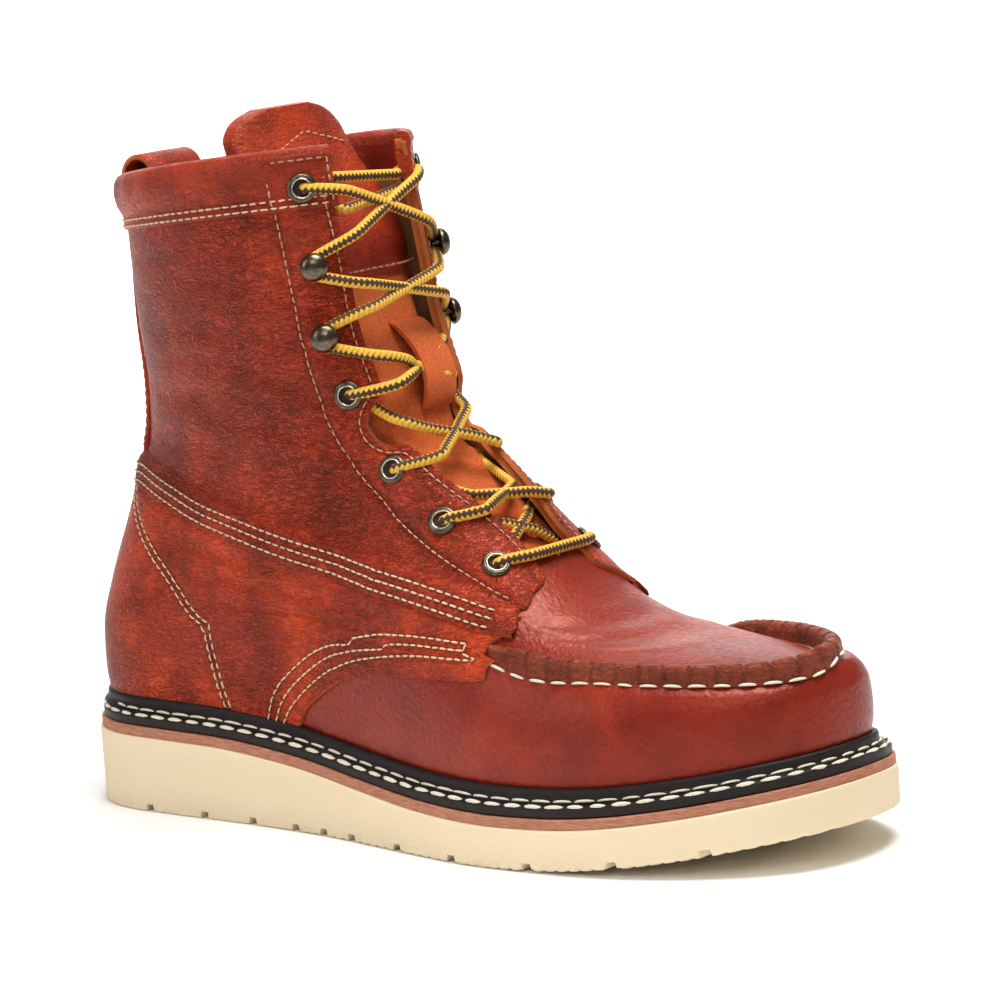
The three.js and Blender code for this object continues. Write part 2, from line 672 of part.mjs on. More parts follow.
function hook({ seat, normal }) {
  return solid(
    turned(
      lathe(HOOK_SECTION.map(([out, up]) => [HOOK_RADIUS * out, HOOK_HEIGHT * up])),
      seat,
      normal,
    ),
  );
}
function eyeletHole({ point, normal }) {
  const radius = EYELET_BORE + EYELET_WALL + GAP;
  const geometry = new THREE.CylinderGeometry(radius, radius, 8 * WALL, ROUND_STEPS);
  return solid(turned(geometry.rotateX(Math.PI / 2), point, normal));
}

// A lace along points.
function laceTube(points, width) {
  const curve = new THREE.CatmullRomCurve3(points);
  const r = width / 2;
  const shape = new THREE.Shape();
  for (let i = 0; i < LACE_SIDES; i += 1) {
    const a = (2 * Math.PI * i) / LACE_SIDES;
    if (i === 0) shape.moveTo(r, 0);
    else shape.lineTo(r * Math.cos(a), r * Math.sin(a));
  }
  const options = { steps: LACE_STEPS, bevelEnabled: false, extrudePath: curve };
  return solid(new THREE.ExtrudeGeometry(shape, options));
}

// Half the throat's width between the facings on a section line.
function throatHalf(wanted) {
  const row = clamp(wanted, FACING_EDGE[FACING_EDGE.length - 1][0], FACING_EDGE[0][0]);
  const found = Math.max(FACING_EDGE.findIndex(([edgeRow]) => edgeRow <= row), 1);
  const [above, below] = [FACING_EDGE[found - 1], FACING_EDGE[found]];
  const t = (above[0] - row) / (above[0] - below[0]);
  return Math.sqrt(widthSquared(...sidePoint([row, share(above[1], below[1], t)])));
}

// A strand over the tongue, from a place on one side to one on the other side. A place is a section line,
// the distance from the middle and the lift over the leather's outer face.
function strand(from, to, side) {
  const points = [];
  for (let i = 0; i <= STRAND_POINTS; i += 1) {
    const t = i / STRAND_POINTS;
    const row = share(from.row, to.row, t);
    const y = side * share(from.half, -to.half, t);
    const lift = share(from.lift, to.lift, clamp((t - LACE_DROP) / (1 - LACE_DROP), 0, 1));
    const wide = Math.max(Math.abs(y), THROAT_FLAT);
    const { point, normal } = onFace([row, shareAtHalf(row, wide)], y < 0 ? -1 : 1);
    const centre = middle(point.x, point.z);
    point.addScaledVector(normal, lift);
    point.y = share(centre, point.y, Math.abs(y) / wide);
    points.push(point);
  }
  return laceTube(points, LACE_WIDTH);
}

const nodes = [];
const add = (name, made, finish) => nodes.push({ name, made, finish });

const CREAM = { color: 0xece0c2, roughness: 0.75 };
const TAN = { color: 0xa5715a, roughness: 0.8 };
const BLACK = { color: 0x1d1a1a, roughness: 0.55 };
const BOARD = { color: 0xb08a64, roughness: 0.9 };
const LEATHER = { color: 0x8a3526, roughness: 0.55 };
const TRIM = { color: 0x7c2e22, roughness: 0.55 };
const SUEDE = { color: 0xb8502a, roughness: 0.95 };
const BRASS = { color: 0x8c8474, roughness: 0.35, metalness: 1 };
const BRONZE = { color: 0x5a5146, roughness: 0.35, metalness: 1 };
const CORD = { color: 0xc9a13c, roughness: 0.9 };

// Sole
const grooves = GROOVES.map((along) => {
  const x = along * LENGTH;
  const box = [x - GROOVE_WIDTH / 2, x + GROOVE_WIDTH / 2];
  const top = treadZ(x) + GROOVE_DEPTH;
  return sidePrism([[box[0], -LENGTH], [box[1], -LENGTH], [box[1], top], [box[0], top]]);
});
const wedge = planPrism(soleOutline(0)).intersect(layer(treadZ, wedgeZ));
add("outsole", grooves.reduce((made, groove) => made.subtract(groove), wedge), CREAM);
add(
  "midsole",
  planPrism(soleOutline(MIDSOLE_INSET)).intersect(layer((x) => wedgeZ(x) + GAP, midsoleZ)),
  TAN,
);
const weltInside = form(-WALL - WELT_SEAT);
const strip = planPrism(soleOutline(WELT_INSET))
  .subtract(weltInside)
  .intersect(layer((x) => midsoleZ(x) + GAP, weltZ));
const lip = shell(GAP, GAP + WELT_LIP).intersect(
  layer((x) => weltZ(x) - WELT / 2, (x) => weltZ(x) + GAP + WELT_LIP_RISE),
);
add("welt", strip.add(lip), BLACK);
const board = layer((x) => weltZ(x) + GAP, (x) => weltZ(x) + GAP + INSOLE);
add("insole", form(-WALL - GAP).intersect(board), BOARD);

// Upper and its overlays
const left = hardware(1);
const right = hardware(-1);
const holes = [...left, ...right].filter((h) => h.kind === "eyelet").map(eyeletHole);
const drilled = (made) => holes.reduce((rest, hole) => rest.subtract(hole), made);
add("upper", drilled(shell(-WALL, 0).intersect(upperBand).subtract(throatCut)), LEATHER);

const facingOutline = [
  ...FACING_BACK.map(sidePoint),
  ...[...FACING_EDGE, ...FACING_TOE].reverse().map(sidePoint),
];
const quarterOutline = [
  ...QUARTER_TOP.map(sidePoint),
  ...QUARTER_FRONT.map(sidePoint),
  ...WING.map(sidePoint),
  ...[...COUNTER].reverse().map(sidePoint),
];
const facings = overlay(facingOutline).subtract(throatCut);
const quarters = overlay(quarterOutline);
for (const [name, side] of [["outer", -1], ["inner", 1]]) {
  add("facing_" + name, drilled(facings.intersect(sideHalf(side))), LEATHER);
  add("quarter_" + name, quarters.intersect(sideHalf(side)), TRIM);
}
const counterOutline = [
  ...COUNTER.map(sidePoint).map(([x, z]) => [x - PANEL_GAP, z]),
  [-LENGTH, 0],
  [-LENGTH, sidePoint(COUNTER[0])[1]],
];
add("heel_counter", overlay(counterOutline), TRIM);

// The section line that passes a height at a share of its length.
const RIM_ROW = 23.8;
const ROW_STEP = 11; // about the height between two section lines there
function rowAtHeight(along, heightAt) {
  let row = RIM_ROW;
  for (let n = 0; n < HALVINGS; n += 1) {
    const [x, z] = sidePoint([row, along]);
    row += (heightAt(x) - z) / ROW_STEP;
  }
  return row;
}

// Collar band: a padded roll over the rim, from one facing round the back to the other.
const SEAM_SHARE = 0.0008; // a place this near the back seam still has a side
function collarBand() {
  const section = [
    [GAP, -BAND_HEIGHT],
    ...BAND_SECTION.map(([out, up]) => [BAND_THICK * out, up * (up < 0 ? BAND_HEIGHT : ROLL_RISE)]),
    [-WALL, ROLL_RISE],
    [-WALL - BAND_INSIDE, GAP],
    [GAP, GAP],
  ];
  const frontShare = FACING_BACK[0][1] - (2 * PANEL_GAP) / SHAFT_DEPTH;
  const loops = [];
  for (let i = 0; i <= BAND_STEPS; i += 1) {
    const t = (2 * i) / BAND_STEPS - 1;
    const side = t < 0 ? -1 : 1;
    const along = frontShare * Math.abs(t) ** BAND_BUNCH;
    loops.push(
      section.map(([out, up]) => {
        const row = rowAtHeight(along, (x) => collarZ(x) + Math.min(up, 0));
        const { point, normal } = onFace([row, Math.max(along, SEAM_SHARE)], side);
        const level = new THREE.Vector3(normal.x, normal.y, 0).normalize();
        return point.addScaledVector(level, out).add(new THREE.Vector3(0, 0, Math.max(up, 0)));
      }),
    );
  }
  return loft(loops);
}
add("collar_band", collarBand().subtract(form(GAP).intersect(layer(() => 0, collarZ))), TRIM);

// Backstay: a strip over the back seam between the counter and the band.
const backstayLow = sidePoint(COUNTER[0])[1] + PANEL_GAP;
const backstayHigh = COLLAR_HEIGHT - BAND_HEIGHT - PANEL_GAP;
const backstaySides = [SHAFT_SHIFT - BACKSTAY_WIDTH / 2, SHAFT_SHIFT + BACKSTAY_WIDTH / 2];
const backstayPlan = [
  [-REACH, backstaySides[0]], [HEEL_ROUND, backstaySides[0]],
  [HEEL_ROUND, backstaySides[1]], [-REACH, backstaySides[1]],
];
const backstay = shell(GAP, GAP + OVERLAY).intersect(planPrism(backstayPlan, backstayLow, backstayHigh));
add("backstay", backstay.subtract(sidePrism(quarterOutline)), TRIM);

// Pull loop: a strap that arches over the rim at the back, from the band to the lining.
function pullLoop() {
  const rim = sidePoint([RIM_ROW, 0]);
  const outside = rim[0] - BAND_THICK - GAP;
  const inside = outside + LOOP_REACH;
  const low = COLLAR_HEIGHT - LOOP_TAIL;
  const insideLow = COLLAR_HEIGHT - LOOP_TAIL_INSIDE;
  const spring = COLLAR_HEIGHT;
  const radius = LOOP_REACH / 2;
  const stretch = (COLLAR_HEIGHT + LOOP_RISE - spring) / radius;
  const outline = [[outside, low]];
  const arc = (r, sign) => {
    for (let i = 0; i <= ROUND_STEPS; i += 1) {
      const a = Math.PI * (sign > 0 ? i / ROUND_STEPS : 1 - i / ROUND_STEPS);
      outline.push([outside + radius - r * Math.cos(a), spring + r * stretch * Math.sin(a)]);
    }
  };
  arc(radius, 1);
  outline.push([inside, insideLow], [inside - LOOP_THICK, insideLow]);
  arc(radius - LOOP_THICK, -1);
  outline.push([outside + LOOP_THICK, low]);
  return sidePrism(
    outline.map(([x, z]) => [x - LOOP_THICK, z]),
    SHAFT_SHIFT - LOOP_WIDTH / 2,
    SHAFT_SHIFT + LOOP_WIDTH / 2,
  );
}
add("pull_loop", pullLoop(), TRIM);

// Moc seam: a raised ridge along half an ellipse on the vamp.
function topOfVamp(x, y) {
  let low = weltZ(x) + 1.5 * WIDEST_UP * TOE_HEIGHT;
  let high = INSTEP_HEIGHT;
  const off = (y - middle(x, TOE_HEIGHT)) ** 2;
  for (let i = 0; i < HALVINGS; i += 1) {
    const z = (low + high) / 2;
    if (widthSquared(x, z) > off) low = z;
    else high = z;
  }
  return low;
}
function mocSeam() {
  const centre = new THREE.Vector2(LENGTH - RIDGE_TIP - RIDGE_REACH, TOE_SHIFT / 2);
  const at = (a) => {
    const x = centre.x + RIDGE_REACH * Math.sin(a);
    const y = centre.y - RIDGE_HALF * Math.cos(a);
    return new THREE.Vector3(x, y, topOfVamp(x, y));
  };
  const loops = [];
  for (let i = 0; i <= RIDGE_STEPS; i += 1) {
    const a = (Math.PI * (i + RIDGE_ENDS)) / (RIDGE_STEPS + 2 * RIDGE_ENDS);
    const p = at(a);
    const along = at(a + 0.01).sub(at(a - 0.01)).normalize();
    const up = new THREE.Vector3(0, 0, 1);
    const out = along.clone().cross(up).normalize();
    loops.push(
      RIDGE_SECTION.map(([across, high]) => {
        const place = p.clone().addScaledVector(out, -across * RIDGE_THICK);
        const foot = topOfVamp(place.x, place.y) + GAP;
        place.z = high === 0 ? Math.max(foot, p.z - RIDGE_HEIGHT / 2) : p.z + GAP + high * RIDGE_HEIGHT;
        return place;
      }),
    );
  }
  return loft(loops);
}
const pastQuarters = sidePrism(quarterOutline.map(([x, z]) => [x + PANEL_GAP, z]));
const ridge = mocSeam()
  .subtract(form(1.5 * GAP))
  .subtract(form(RIDGE_HEIGHT).intersect(pastQuarters));
add("moc_seam", ridge, TRIM);

// Tongue: a sheet under the facings that leans back above them.
function tongue() {
  const loops = TONGUE_ROWS.map((row) => {
    const half = TONGUE_HALF * TONGUE.half(row);
    const lean = TONGUE_LEAN * TONGUE.lean(row);
    const above = Math.max(row - TOP_ROW, 0) * TONGUE_TIP;
    const rowIn = Math.min(row, TOP_ROW);
    const faces = [[], []];
    for (let k = 0; k <= TONGUE_STEPS; k += 1) {
      const y = half * ((2 * k) / TONGUE_STEPS - 1);
      const inset = WALL + TONGUE_CLEAR;
      const ends = [0, TONGUE_THICK].map((deep) => {
        const wide = Math.max(Math.abs(y), THROAT_FLAT) + TONGUE_WIDEN * (inset + deep);
        const t = shareAtHalf(rowIn, wide);
        const [x, z] = sidePoint([rowIn, t]);
        const [fx, fz] = sidePoint([rowIn, 1]);
        const { normal } = onFace([rowIn, t], y < 0 ? -1 : 1);
        const back = new THREE.Vector2(normal.x, normal.z).normalize();
        const far = (inset + deep) / Math.max(Math.hypot(normal.x, normal.z), STEEPEST);
        return new THREE.Vector3(
          x - back.x * far - lean,
          middle(fx, fz) + y,
          z - back.y * far + above,
        );
      });
      faces[0].push(ends[0]);
      faces[1].unshift(ends[1]);
    }
    return [...faces[0], ...faces[1]];
  });
  return loft(loops);
}
add("tongue", tongue(), SUEDE);

// Eyelets, hooks and lace
for (const [name, list] of [["outer", right], ["inner", left]]) {
  for (const piece of list) {
    const made = piece.kind === "hook" ? hook(piece) : eyelet(piece);
    add(`${piece.kind}_${piece.number}_${name}`, made, piece.kind === "hook" ? BRONZE : BRASS);
  }
}
// Beside an eyelet or a hook a strand lies on the facing, and at its other end it may go under the
// opposite facing.
function beside({ row, share: along, kind }, upOrDown) {
  const half = Math.sqrt(widthSquared(...sidePoint([row, along])));
  const isHook = kind === "hook";
  return {
    row: isHook ? row + upOrDown * ROWS_AROUND : row,
    half: half - (isHook ? HOOK_RADIUS : EYELET_RADIUS) - LACE_CLEAR,
    lift: FACING_TOP + LACE_CLEAR + LACE_WIDTH / 2,
  };
}
const under = (row, nearer = 0) => ({
  row,
  half: throatHalf(row) - LACE_WIDTH / 2 - THROAT_CLEAR + nearer,
  lift: -LACE_DIVE,
});
const crossing = (low, high) => strand(low, high, 1).add(strand(low, high, -1));
for (let i = 0; i < HARDWARE.length - 2; i += 1) {
  const [upper, lower] = [HARDWARE[i], HARDWARE[i + 1]];
  const high = upper.number <= LAST_HOOK ? beside(upper, -1) : under(upper.row - ROWS_UNDER);
  add(`lace_cross_${i + 1}`, crossing(beside(lower, 1), high), CORD);
}
const lowest = HARDWARE[HARDWARE.length - 1];
const lowestEnds = LOWEST_CROSS.map((row) => under(row, LOWEST_NEARER));
add(`lace_cross_${lowest.number - 1}`, crossing(...lowestEnds), CORD);
add("lace_bar", strand(beside(lowest, 0), beside(lowest, 0), 1), CORD);

const boot = new THREE.Group();
boot.position.x = -LENGTH * ORIGIN_ALONG;
for (const { name, made, finish } of nodes) {
  const material = new THREE.MeshStandardMaterial({ metalness: 0, ...finish });
  const mesh = new THREE.Mesh(geometryOf(made), material);
  mesh.name = name;
  boot.add(mesh);
}

export default boot;
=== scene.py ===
"""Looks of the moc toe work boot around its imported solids.

Sizes are in millimetres in the boot's own frame: x from the heel end of the sole to the toe, y to the
inner side, z up from the floor. place() turns them into Blender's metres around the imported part.
"""

import math

import bmesh
import bpy
import numpy as np
from mathutils import Matrix, Vector
from mathutils.geometry import delaunay_2d_cdt
from mathutils.kdtree import KDTree


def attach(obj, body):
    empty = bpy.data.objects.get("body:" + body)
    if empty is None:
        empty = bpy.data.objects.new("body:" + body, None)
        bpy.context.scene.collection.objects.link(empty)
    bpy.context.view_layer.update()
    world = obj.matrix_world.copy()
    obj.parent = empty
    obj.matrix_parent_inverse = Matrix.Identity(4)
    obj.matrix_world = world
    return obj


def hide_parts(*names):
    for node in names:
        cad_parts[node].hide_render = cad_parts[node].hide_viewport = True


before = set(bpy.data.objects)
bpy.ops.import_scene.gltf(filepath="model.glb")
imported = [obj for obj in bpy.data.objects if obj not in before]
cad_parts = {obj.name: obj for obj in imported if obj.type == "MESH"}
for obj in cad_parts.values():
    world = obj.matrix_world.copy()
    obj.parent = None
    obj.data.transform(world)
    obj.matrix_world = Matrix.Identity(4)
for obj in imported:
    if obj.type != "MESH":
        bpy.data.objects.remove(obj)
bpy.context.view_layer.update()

# Sizes of the part
LENGTH = 308
BALL_WIDTH = 108
HEEL_WIDTH = 79
TOE_SHIFT = 10
HEEL_ROUND = 40
TOE_ROUND = 82
ROUND_POWER = 2.35
WEDGE_HEEL = 25.5
WEDGE_BALL = 13
TOE_SPRING = 12.5
MIDSOLE = 3
MIDSOLE_INSET = 0.6
WELT = 3.4
WELT_INSET = 1.4
WELT_REACH = 7
GROOVE_WIDTH = 2.8
GROOVE_DEPTH = 2.2
ORIGIN_ALONG = 0.115
COLLAR_HEIGHT = 216
COLLAR_RISE = 5
TOE_HEIGHT = 62
INSTEP_HEIGHT = 150
SHAFT_DEPTH = 111
SHAFT_WIDTH = 77
SHAFT_SHIFT = 0.5
SOFTEN = 17.3
WIDEST_UP = 0.21
TUCK = 0.05
SHAFT_FROM = 0.28
WALL = 2.4
OVERLAY = 1.4
GAP = 0.3
BAND_THICK = 3
BACKSTAY_WIDTH = 20
RIDGE_THICK = 4.4
RIDGE_REACH = 100
RIDGE_HALF = 43.5
RIDGE_TIP = 12
LOOP_WIDTH = 24
LOOP_THICK = 2
LOOP_RISE = 8
LOOP_REACH = 16
LOOP_TAIL = 10.2
LOOP_TAIL_INSIDE = 6.2
THROAT_FLAT = 15
TONGUE_THICK = 3
TONGUE_HALF = 31
TONGUE_CLEAR = 2
TONGUE_TIP = 10
TONGUE_WIDEN = 0.25
TONGUE_LEAN = 32
EYELET_RADIUS = 4.8
HOOK_RADIUS = 4.5
LACE_WIDTH = 4.4
LACE_CLEAR = 0.3
THROAT_CLEAR = 0.3
LACE_DIVE = 1.5
LACE_DROP = 0.35
ROWS_UNDER = 0.55
ROWS_AROUND = 0.45
LOWEST_CROSS = [14.35, 14.85]
FACING_TOP = GAP + OVERLAY

# The photograph's camera: degrees, and millimetres round the point that it looks at
CAMERA_AZIMUTH = 41.5
CAMERA_ELEVATION = 9.4
CAMERA_ROLL = -4.3
CAMERA_DISTANCE = 1600
CAMERA_LENS = 4980 * 36 / 1000
CAMERA_AIM = (173.9, 0, 106.6)


def table(rows):
    """Smooth functions of the first column, one for each other column."""
    data = np.array(rows, float)
    xs, ys = data[:, 0], data[:, 1:]
    steps = np.diff(xs)
    slopes = np.diff(ys, axis=0) / steps[:, None]
    before = np.vstack([slopes[:1], slopes])
    after = np.vstack([slopes, slopes[-1:]])
    both = before + after
    flat = before * after <= 0
    tangents = np.where(flat, 0, 2 * before * after / np.where(flat, 1, both))

    def column(c):
        def value(x):
            at = np.clip(np.asarray(x, float), xs[0], xs[-1])
            i = np.clip(np.searchsorted(xs, at, side="left") - 1, 0, len(steps) - 1)
            h = steps[i]
            t = (at - xs[i]) / h
            u = 1 - t
            return (
                (1 + 2 * t) * u * u * ys[i, c]
                + t * u * u * h * tangents[i, c]
                + t * t * (3 - 2 * t) * ys[i + 1, c]
                - t * t * u * h * tangents[i + 1, c]
            )

        return value

    return [column(c) for c in range(ys.shape[1])]


PLAN_CENTRE, PLAN_HEEL, PLAN_BALL = table([
    [0.0, 0.1, 1.0, 0.0],
    [0.13, 0.0, 1.0, 0.0],
    [0.25, -0.15, 0.9, 0.045],
    [0.38, -0.35, 0.5, 0.33],
    [0.5, -0.3, 0.2, 0.66],
    [0.6, -0.1, 0.0, 0.935],
    [0.68, 0.1, 0.0, 0.99],
    [0.76, 0.35, 0.0, 1.0],
    [0.86, 0.65, 0.0, 0.972],
    [0.94, 0.85, 0.0, 0.944],
    [1.0, 1.0, 0.0, 0.935],
])
SIDE_SPRING, SIDE_WEDGE = table([
    [0.0, 0.0, 1.0],
    [0.1, 0.0, 1.0],
    [0.22, 0.0, 0.96],
    [0.34, 0.0, 0.744],
    [0.46, 0.0, 0.368],
    [0.56, 0.0, 0.128],
    [0.64, 0.0, 0.048],
    [0.72, 0.05, 0.016],
    [0.8, 0.21, 0.0],
    [0.88, 0.48, 0.0],
    [0.94, 0.74, 0.0],
    [1.0, 1.0, 0.0],
])
GROOVES = [0.136, 0.219, 0.291, 0.357, 0.401, 0.447, 0.523, 0.609, 0.711, 0.81, 0.902]
(HEEL_IN,) = table([
    [0.14, 0.017],
    [0.21, 0.0118],
    [0.27, 0.0135],
    [0.347, 0.029],
    [0.44, 0.055],
    [0.532, 0.081],
    [0.6, 0.094],
    [0.69, 0.107],
])
(TOE_IN,) = table([
    [0.48, 0.026],
    [0.68, 0.0195],
    [0.84, 0.021],
    [0.97, 0.029],
    [1.1, 0.042],
    [1.23, 0.062],
])
INSTEP_RISE, INSTEP_SQUARE = table([
    [0.0, 0.57, 2.2],
    [0.1, 0.615, 2.2],
    [0.195, 0.727, 2.1],
    [0.292, 0.886, 2.0],
    [0.422, 1.0, 2.05],
    [0.487, 0.818, 2.1],
    [0.552, 0.614, 2.1],
    [0.617, 0.392, 2.15],
    [0.682, 0.193, 2.3],
    [0.73, 0.108, 2.6],
    [0.78, 0.06, 3.0],
    [0.828, 0.0375, 3.2],
    [0.877, 0.025, 3.3],
    [0.925, 0.014, 3.3],
    [0.98, 0.0, 3.3],
])
SHAFT_BACK, SHAFT_DEEP, SHAFT_HALF, SHAFT_SQUARE = table([
    [0.185, 0.026, 1.01, 0.727, 2.0],
    [0.347, 0.042, 1.145, 0.753, 1.9],
    [0.44, 0.063, 1.194, 0.78, 1.9],
    [0.556, 0.0795, 1.176, 0.792, 1.85],
    [0.648, 0.08, 1.129, 0.818, 1.85],
    [0.764, 0.074, 1.065, 0.896, 1.85],
    [0.88, 0.069, 1.03, 0.96, 1.9],
    [0.995, 0.0656, 0.998, 1.0, 1.95],
    [1.09, 0.065, 0.991, 1.013, 2.0],
])
SHAFT_WIDEST = 0.56
SHAFT_FRONT_POWER = 2.3
LINE_BACK, LINE_FRONT, LINE_TOE, LINE_ABOVE = table([
    [0, 0.074, 0.974, 0.19, 0.0],
    [1, 0.125, 0.974, 0.42, 0.0],
    [2, 0.157, 0.977, 0.55, 0.0],
    [3, 0.19, 0.98, 0.68, 0.0],
    [4, 0.222, 0.979, 0.806, 0.0],
    [5, 0.25, 0.97, 0.895, 0.0],
    [6, 0.275, 0.955, 0.96, 0.0],
    [7, 0.296, 0.929, 1.0, 0.0],
    [8, 0.315, 0.89, 1.0, 0.0117],
    [9, 0.333, 0.844, 1.0, 0.019],
    [10, 0.356, 0.795, 1.0, 0.029],
    [11, 0.38, 0.747, 1.0, 0.049],
    [12, 0.407, 0.701, 1.0, 0.0877],
    [13, 0.44, 0.662, 1.0, 0.14],
    [14, 0.477, 0.627, 1.0, 0.201],
    [15, 0.5185, 0.588, 1.0, 0.279],
    [16, 0.565, 0.549, 1.0, 0.364],
    [17, 0.616, 0.516, 1.0, 0.4545],
    [18, 0.671, 0.49, 1.0, 0.5455],
    [19, 0.7315, 0.471, 1.0, 0.636],
    [20, 0.7917, 0.458, 1.0, 0.727],
    [21, 0.852, 0.445, 1.0, 0.812],
    [22, 0.9074, 0.435, 1.0, 0.893],
    [23, 0.958, 0.4286, 1.0, 0.9675],
    [24, 1.0046, 0.425, 1.0, 1.039],
    [25, 1.0555, 0.424, 1.0, 1.11],
])
TOP_ROW = 25

# Panel lines: a section line's number, and the share of it from back to front
FACING_EDGE = [
    [25, 0.972], [23.8, 0.972], [22.8, 0.96], [21.1, 0.959], [19.1, 0.949], [18, 0.946],
    [17.3, 0.893], [16.95, 0.872], [16.6, 0.876], [16.55, 0.93], [15.9, 0.953],
    [15.1, 0.98], [14.4, 0.99], [13.9, 0.992],
]
FACING_BACK = [
    [25, 0.828], [22.2, 0.822], [20.2, 0.814], [18.7, 0.796], [17.5, 0.78], [16.3, 0.762],
    [15.85, 0.757], [14.8, 0.803], [13.9, 0.858], [13.1, 0.908], [12.4, 0.937],
]
QUARTER_TOP = [
    [15.3, 0.035], [14.85, 0.187], [14.5, 0.275], [14.2, 0.382], [13.85, 0.484], [13.55, 0.571],
    [13.3, 0.654], [13, 0.777], [12.55, 0.867], [12.05, 0.909],
]
FACING_TOE = [[13.25, 0.992], [12.7, 0.975]]
QUARTER_FRONT = [
    [11.95, 0.935], [11.5, 0.905], [11.04, 0.874], [10.59, 0.842], [9.99, 0.805], [9.06, 0.761],
    [7.96, 0.706], [7.16, 0.668], [6.26, 0.662],
]
WING = [
    [5.6, 0.66], [5.4, 0.64], [5.3, 0.58], [5.1, 0.5], [4.7, 0.454], [3.6, 0.399],
    [2.5, 0.362], [1.5, 0.352], [0, 0.35],
]
COUNTER = [
    [14.5, 0.03], [13.4, 0.085], [12.65, 0.137], [11.52, 0.181], [10.5, 0.208], [8.11, 0.221],
    [5.25, 0.228], [3.22, 0.241], [1.88, 0.253], [0, 0.27],
]
COUNTER_TOP = 1.3
WING_LOW_ROW = [
    [1.1, 0.322], [1.51, 0.324], [2.41, 0.337], [3.8, 0.378], [5.04, 0.424], [5.92, 0.467],
    [6.58, 0.518], [7.28, 0.59], [7.25, 0.643],
]
WING_TOP_ROW = [
    [1.2, 0.296], [1.84, 0.303], [3.17, 0.317], [4.86, 0.359], [6.56, 0.414], [8.24, 0.512],
    [9.4, 0.607], [9.81, 0.705], [9.58, 0.755],
]
HARDWARE = [
    ("eyelet", 1, 22.95, 0.91),
    ("hook", 2, 20.85, 0.898),
    ("hook", 3, 19.15, 0.88),
    ("eyelet", 4, 17.8, 0.872),
    ("eyelet", 5, 16, 0.862),
    ("eyelet", 6, 14.8, 0.915),
    ("eyelet", 7, 13.65, 0.958),
]
TONGUE_WIDE, TONGUE_BACK = table([
    [11.5, 0.62, 0.0],
    [13, 0.68, 0.0],
    [15, 0.7, 0.0],
    [18, 0.74, 0.03],
    [20, 0.85, 0.15],
    [22, 0.98, 0.42],
    [23.5, 1.0, 0.7],
    [25, 0.95, 0.92],
    [25.5, 0.83, 0.97],
    [25.8, 0.66, 0.99],
    [26, 0.42, 1.0],
])


def share(low, high, t):
    return low + (high - low) * t


def smooth(t):
    t = np.clip(t, 0, 1)
    return t * t * (3 - 2 * t)


def signed_power(v, p):
    return np.sign(v) * np.abs(v) ** p


def unit(v):
    return v / np.maximum(np.linalg.norm(v, axis=-1, keepdims=True), 1e-12)


def distances(points):
    """How far along a line each of its points lies."""
    steps = np.linalg.norm(np.diff(points, axis=0), axis=1)
    return np.concatenate([[0], np.cumsum(steps)])


def share_of(angle):
    """The share of a section line, from back to front, that an angle stands for."""
    return (1 - np.cos(angle)) / 2


def edge_fall(off, width):
    """From 1 at an edge down to 0 at a width from it."""
    return (1 - np.clip(off / width, 0, 1)) ** 2


def bell(off, width):
    return np.exp(-((off / width) ** 2))


def place(points):
    """Millimetres in the boot's frame as metres in the part's frame."""
    return (np.asarray(points, float) - [LENGTH * ORIGIN_ALONG, 0, 0]) / 1000


# The sole's outline and heights
def sole_centre(x):
    return TOE_SHIFT * PLAN_CENTRE(x / LENGTH)


def sole_half(x):
    return HEEL_WIDTH / 2 * PLAN_HEEL(x / LENGTH) + BALL_WIDTH / 2 * PLAN_BALL(x / LENGTH)


def tread_z(x):
    return TOE_SPRING * SIDE_SPRING(x / LENGTH)


def wedge_z(x):
    return tread_z(x) + share(WEDGE_BALL, WEDGE_HEEL, SIDE_WEDGE(x / LENGTH))


def midsole_z(x):
    return wedge_z(x) + GAP + MIDSOLE


def welt_z(x):
    return midsole_z(x) + GAP + WELT


def plan_half(x, inset):
    heel = np.clip((inset + HEEL_ROUND - x) / HEEL_ROUND, 0, 1)
    toe = np.clip((x - LENGTH + inset + TOE_ROUND) / TOE_ROUND, 0, 1)
    ends = ((1 - heel**ROUND_POWER) * (1 - toe**ROUND_POWER)) ** (1 / ROUND_POWER)
    return (sole_half(x) - inset) * ends


def outline(inset, count=480):
    """The sole's outline, from the heel along the outer side to the toe and back, evenly spaced."""
    t = np.linspace(0, np.pi, 2 * count)
    x = inset + (LENGTH - 2 * inset) * (1 - np.cos(t)) / 2
    half = plan_half(x, inset)
    loop = np.concatenate([
        np.stack([x, sole_centre(x) - half], 1),
        np.stack([x, sole_centre(x) + half], 1)[-2:0:-1],
    ])
    return resample(loop, count, closed=True)


def resample(points, count, closed=False):
    points = np.asarray(points, float)
    if closed:
        points = np.vstack([points, points[:1]])
    along = distances(points)
    wanted = np.linspace(0, along[-1], count, endpoint=not closed)
    return np.stack([np.interp(wanted, along, points[:, c]) for c in range(points.shape[1])], 1)


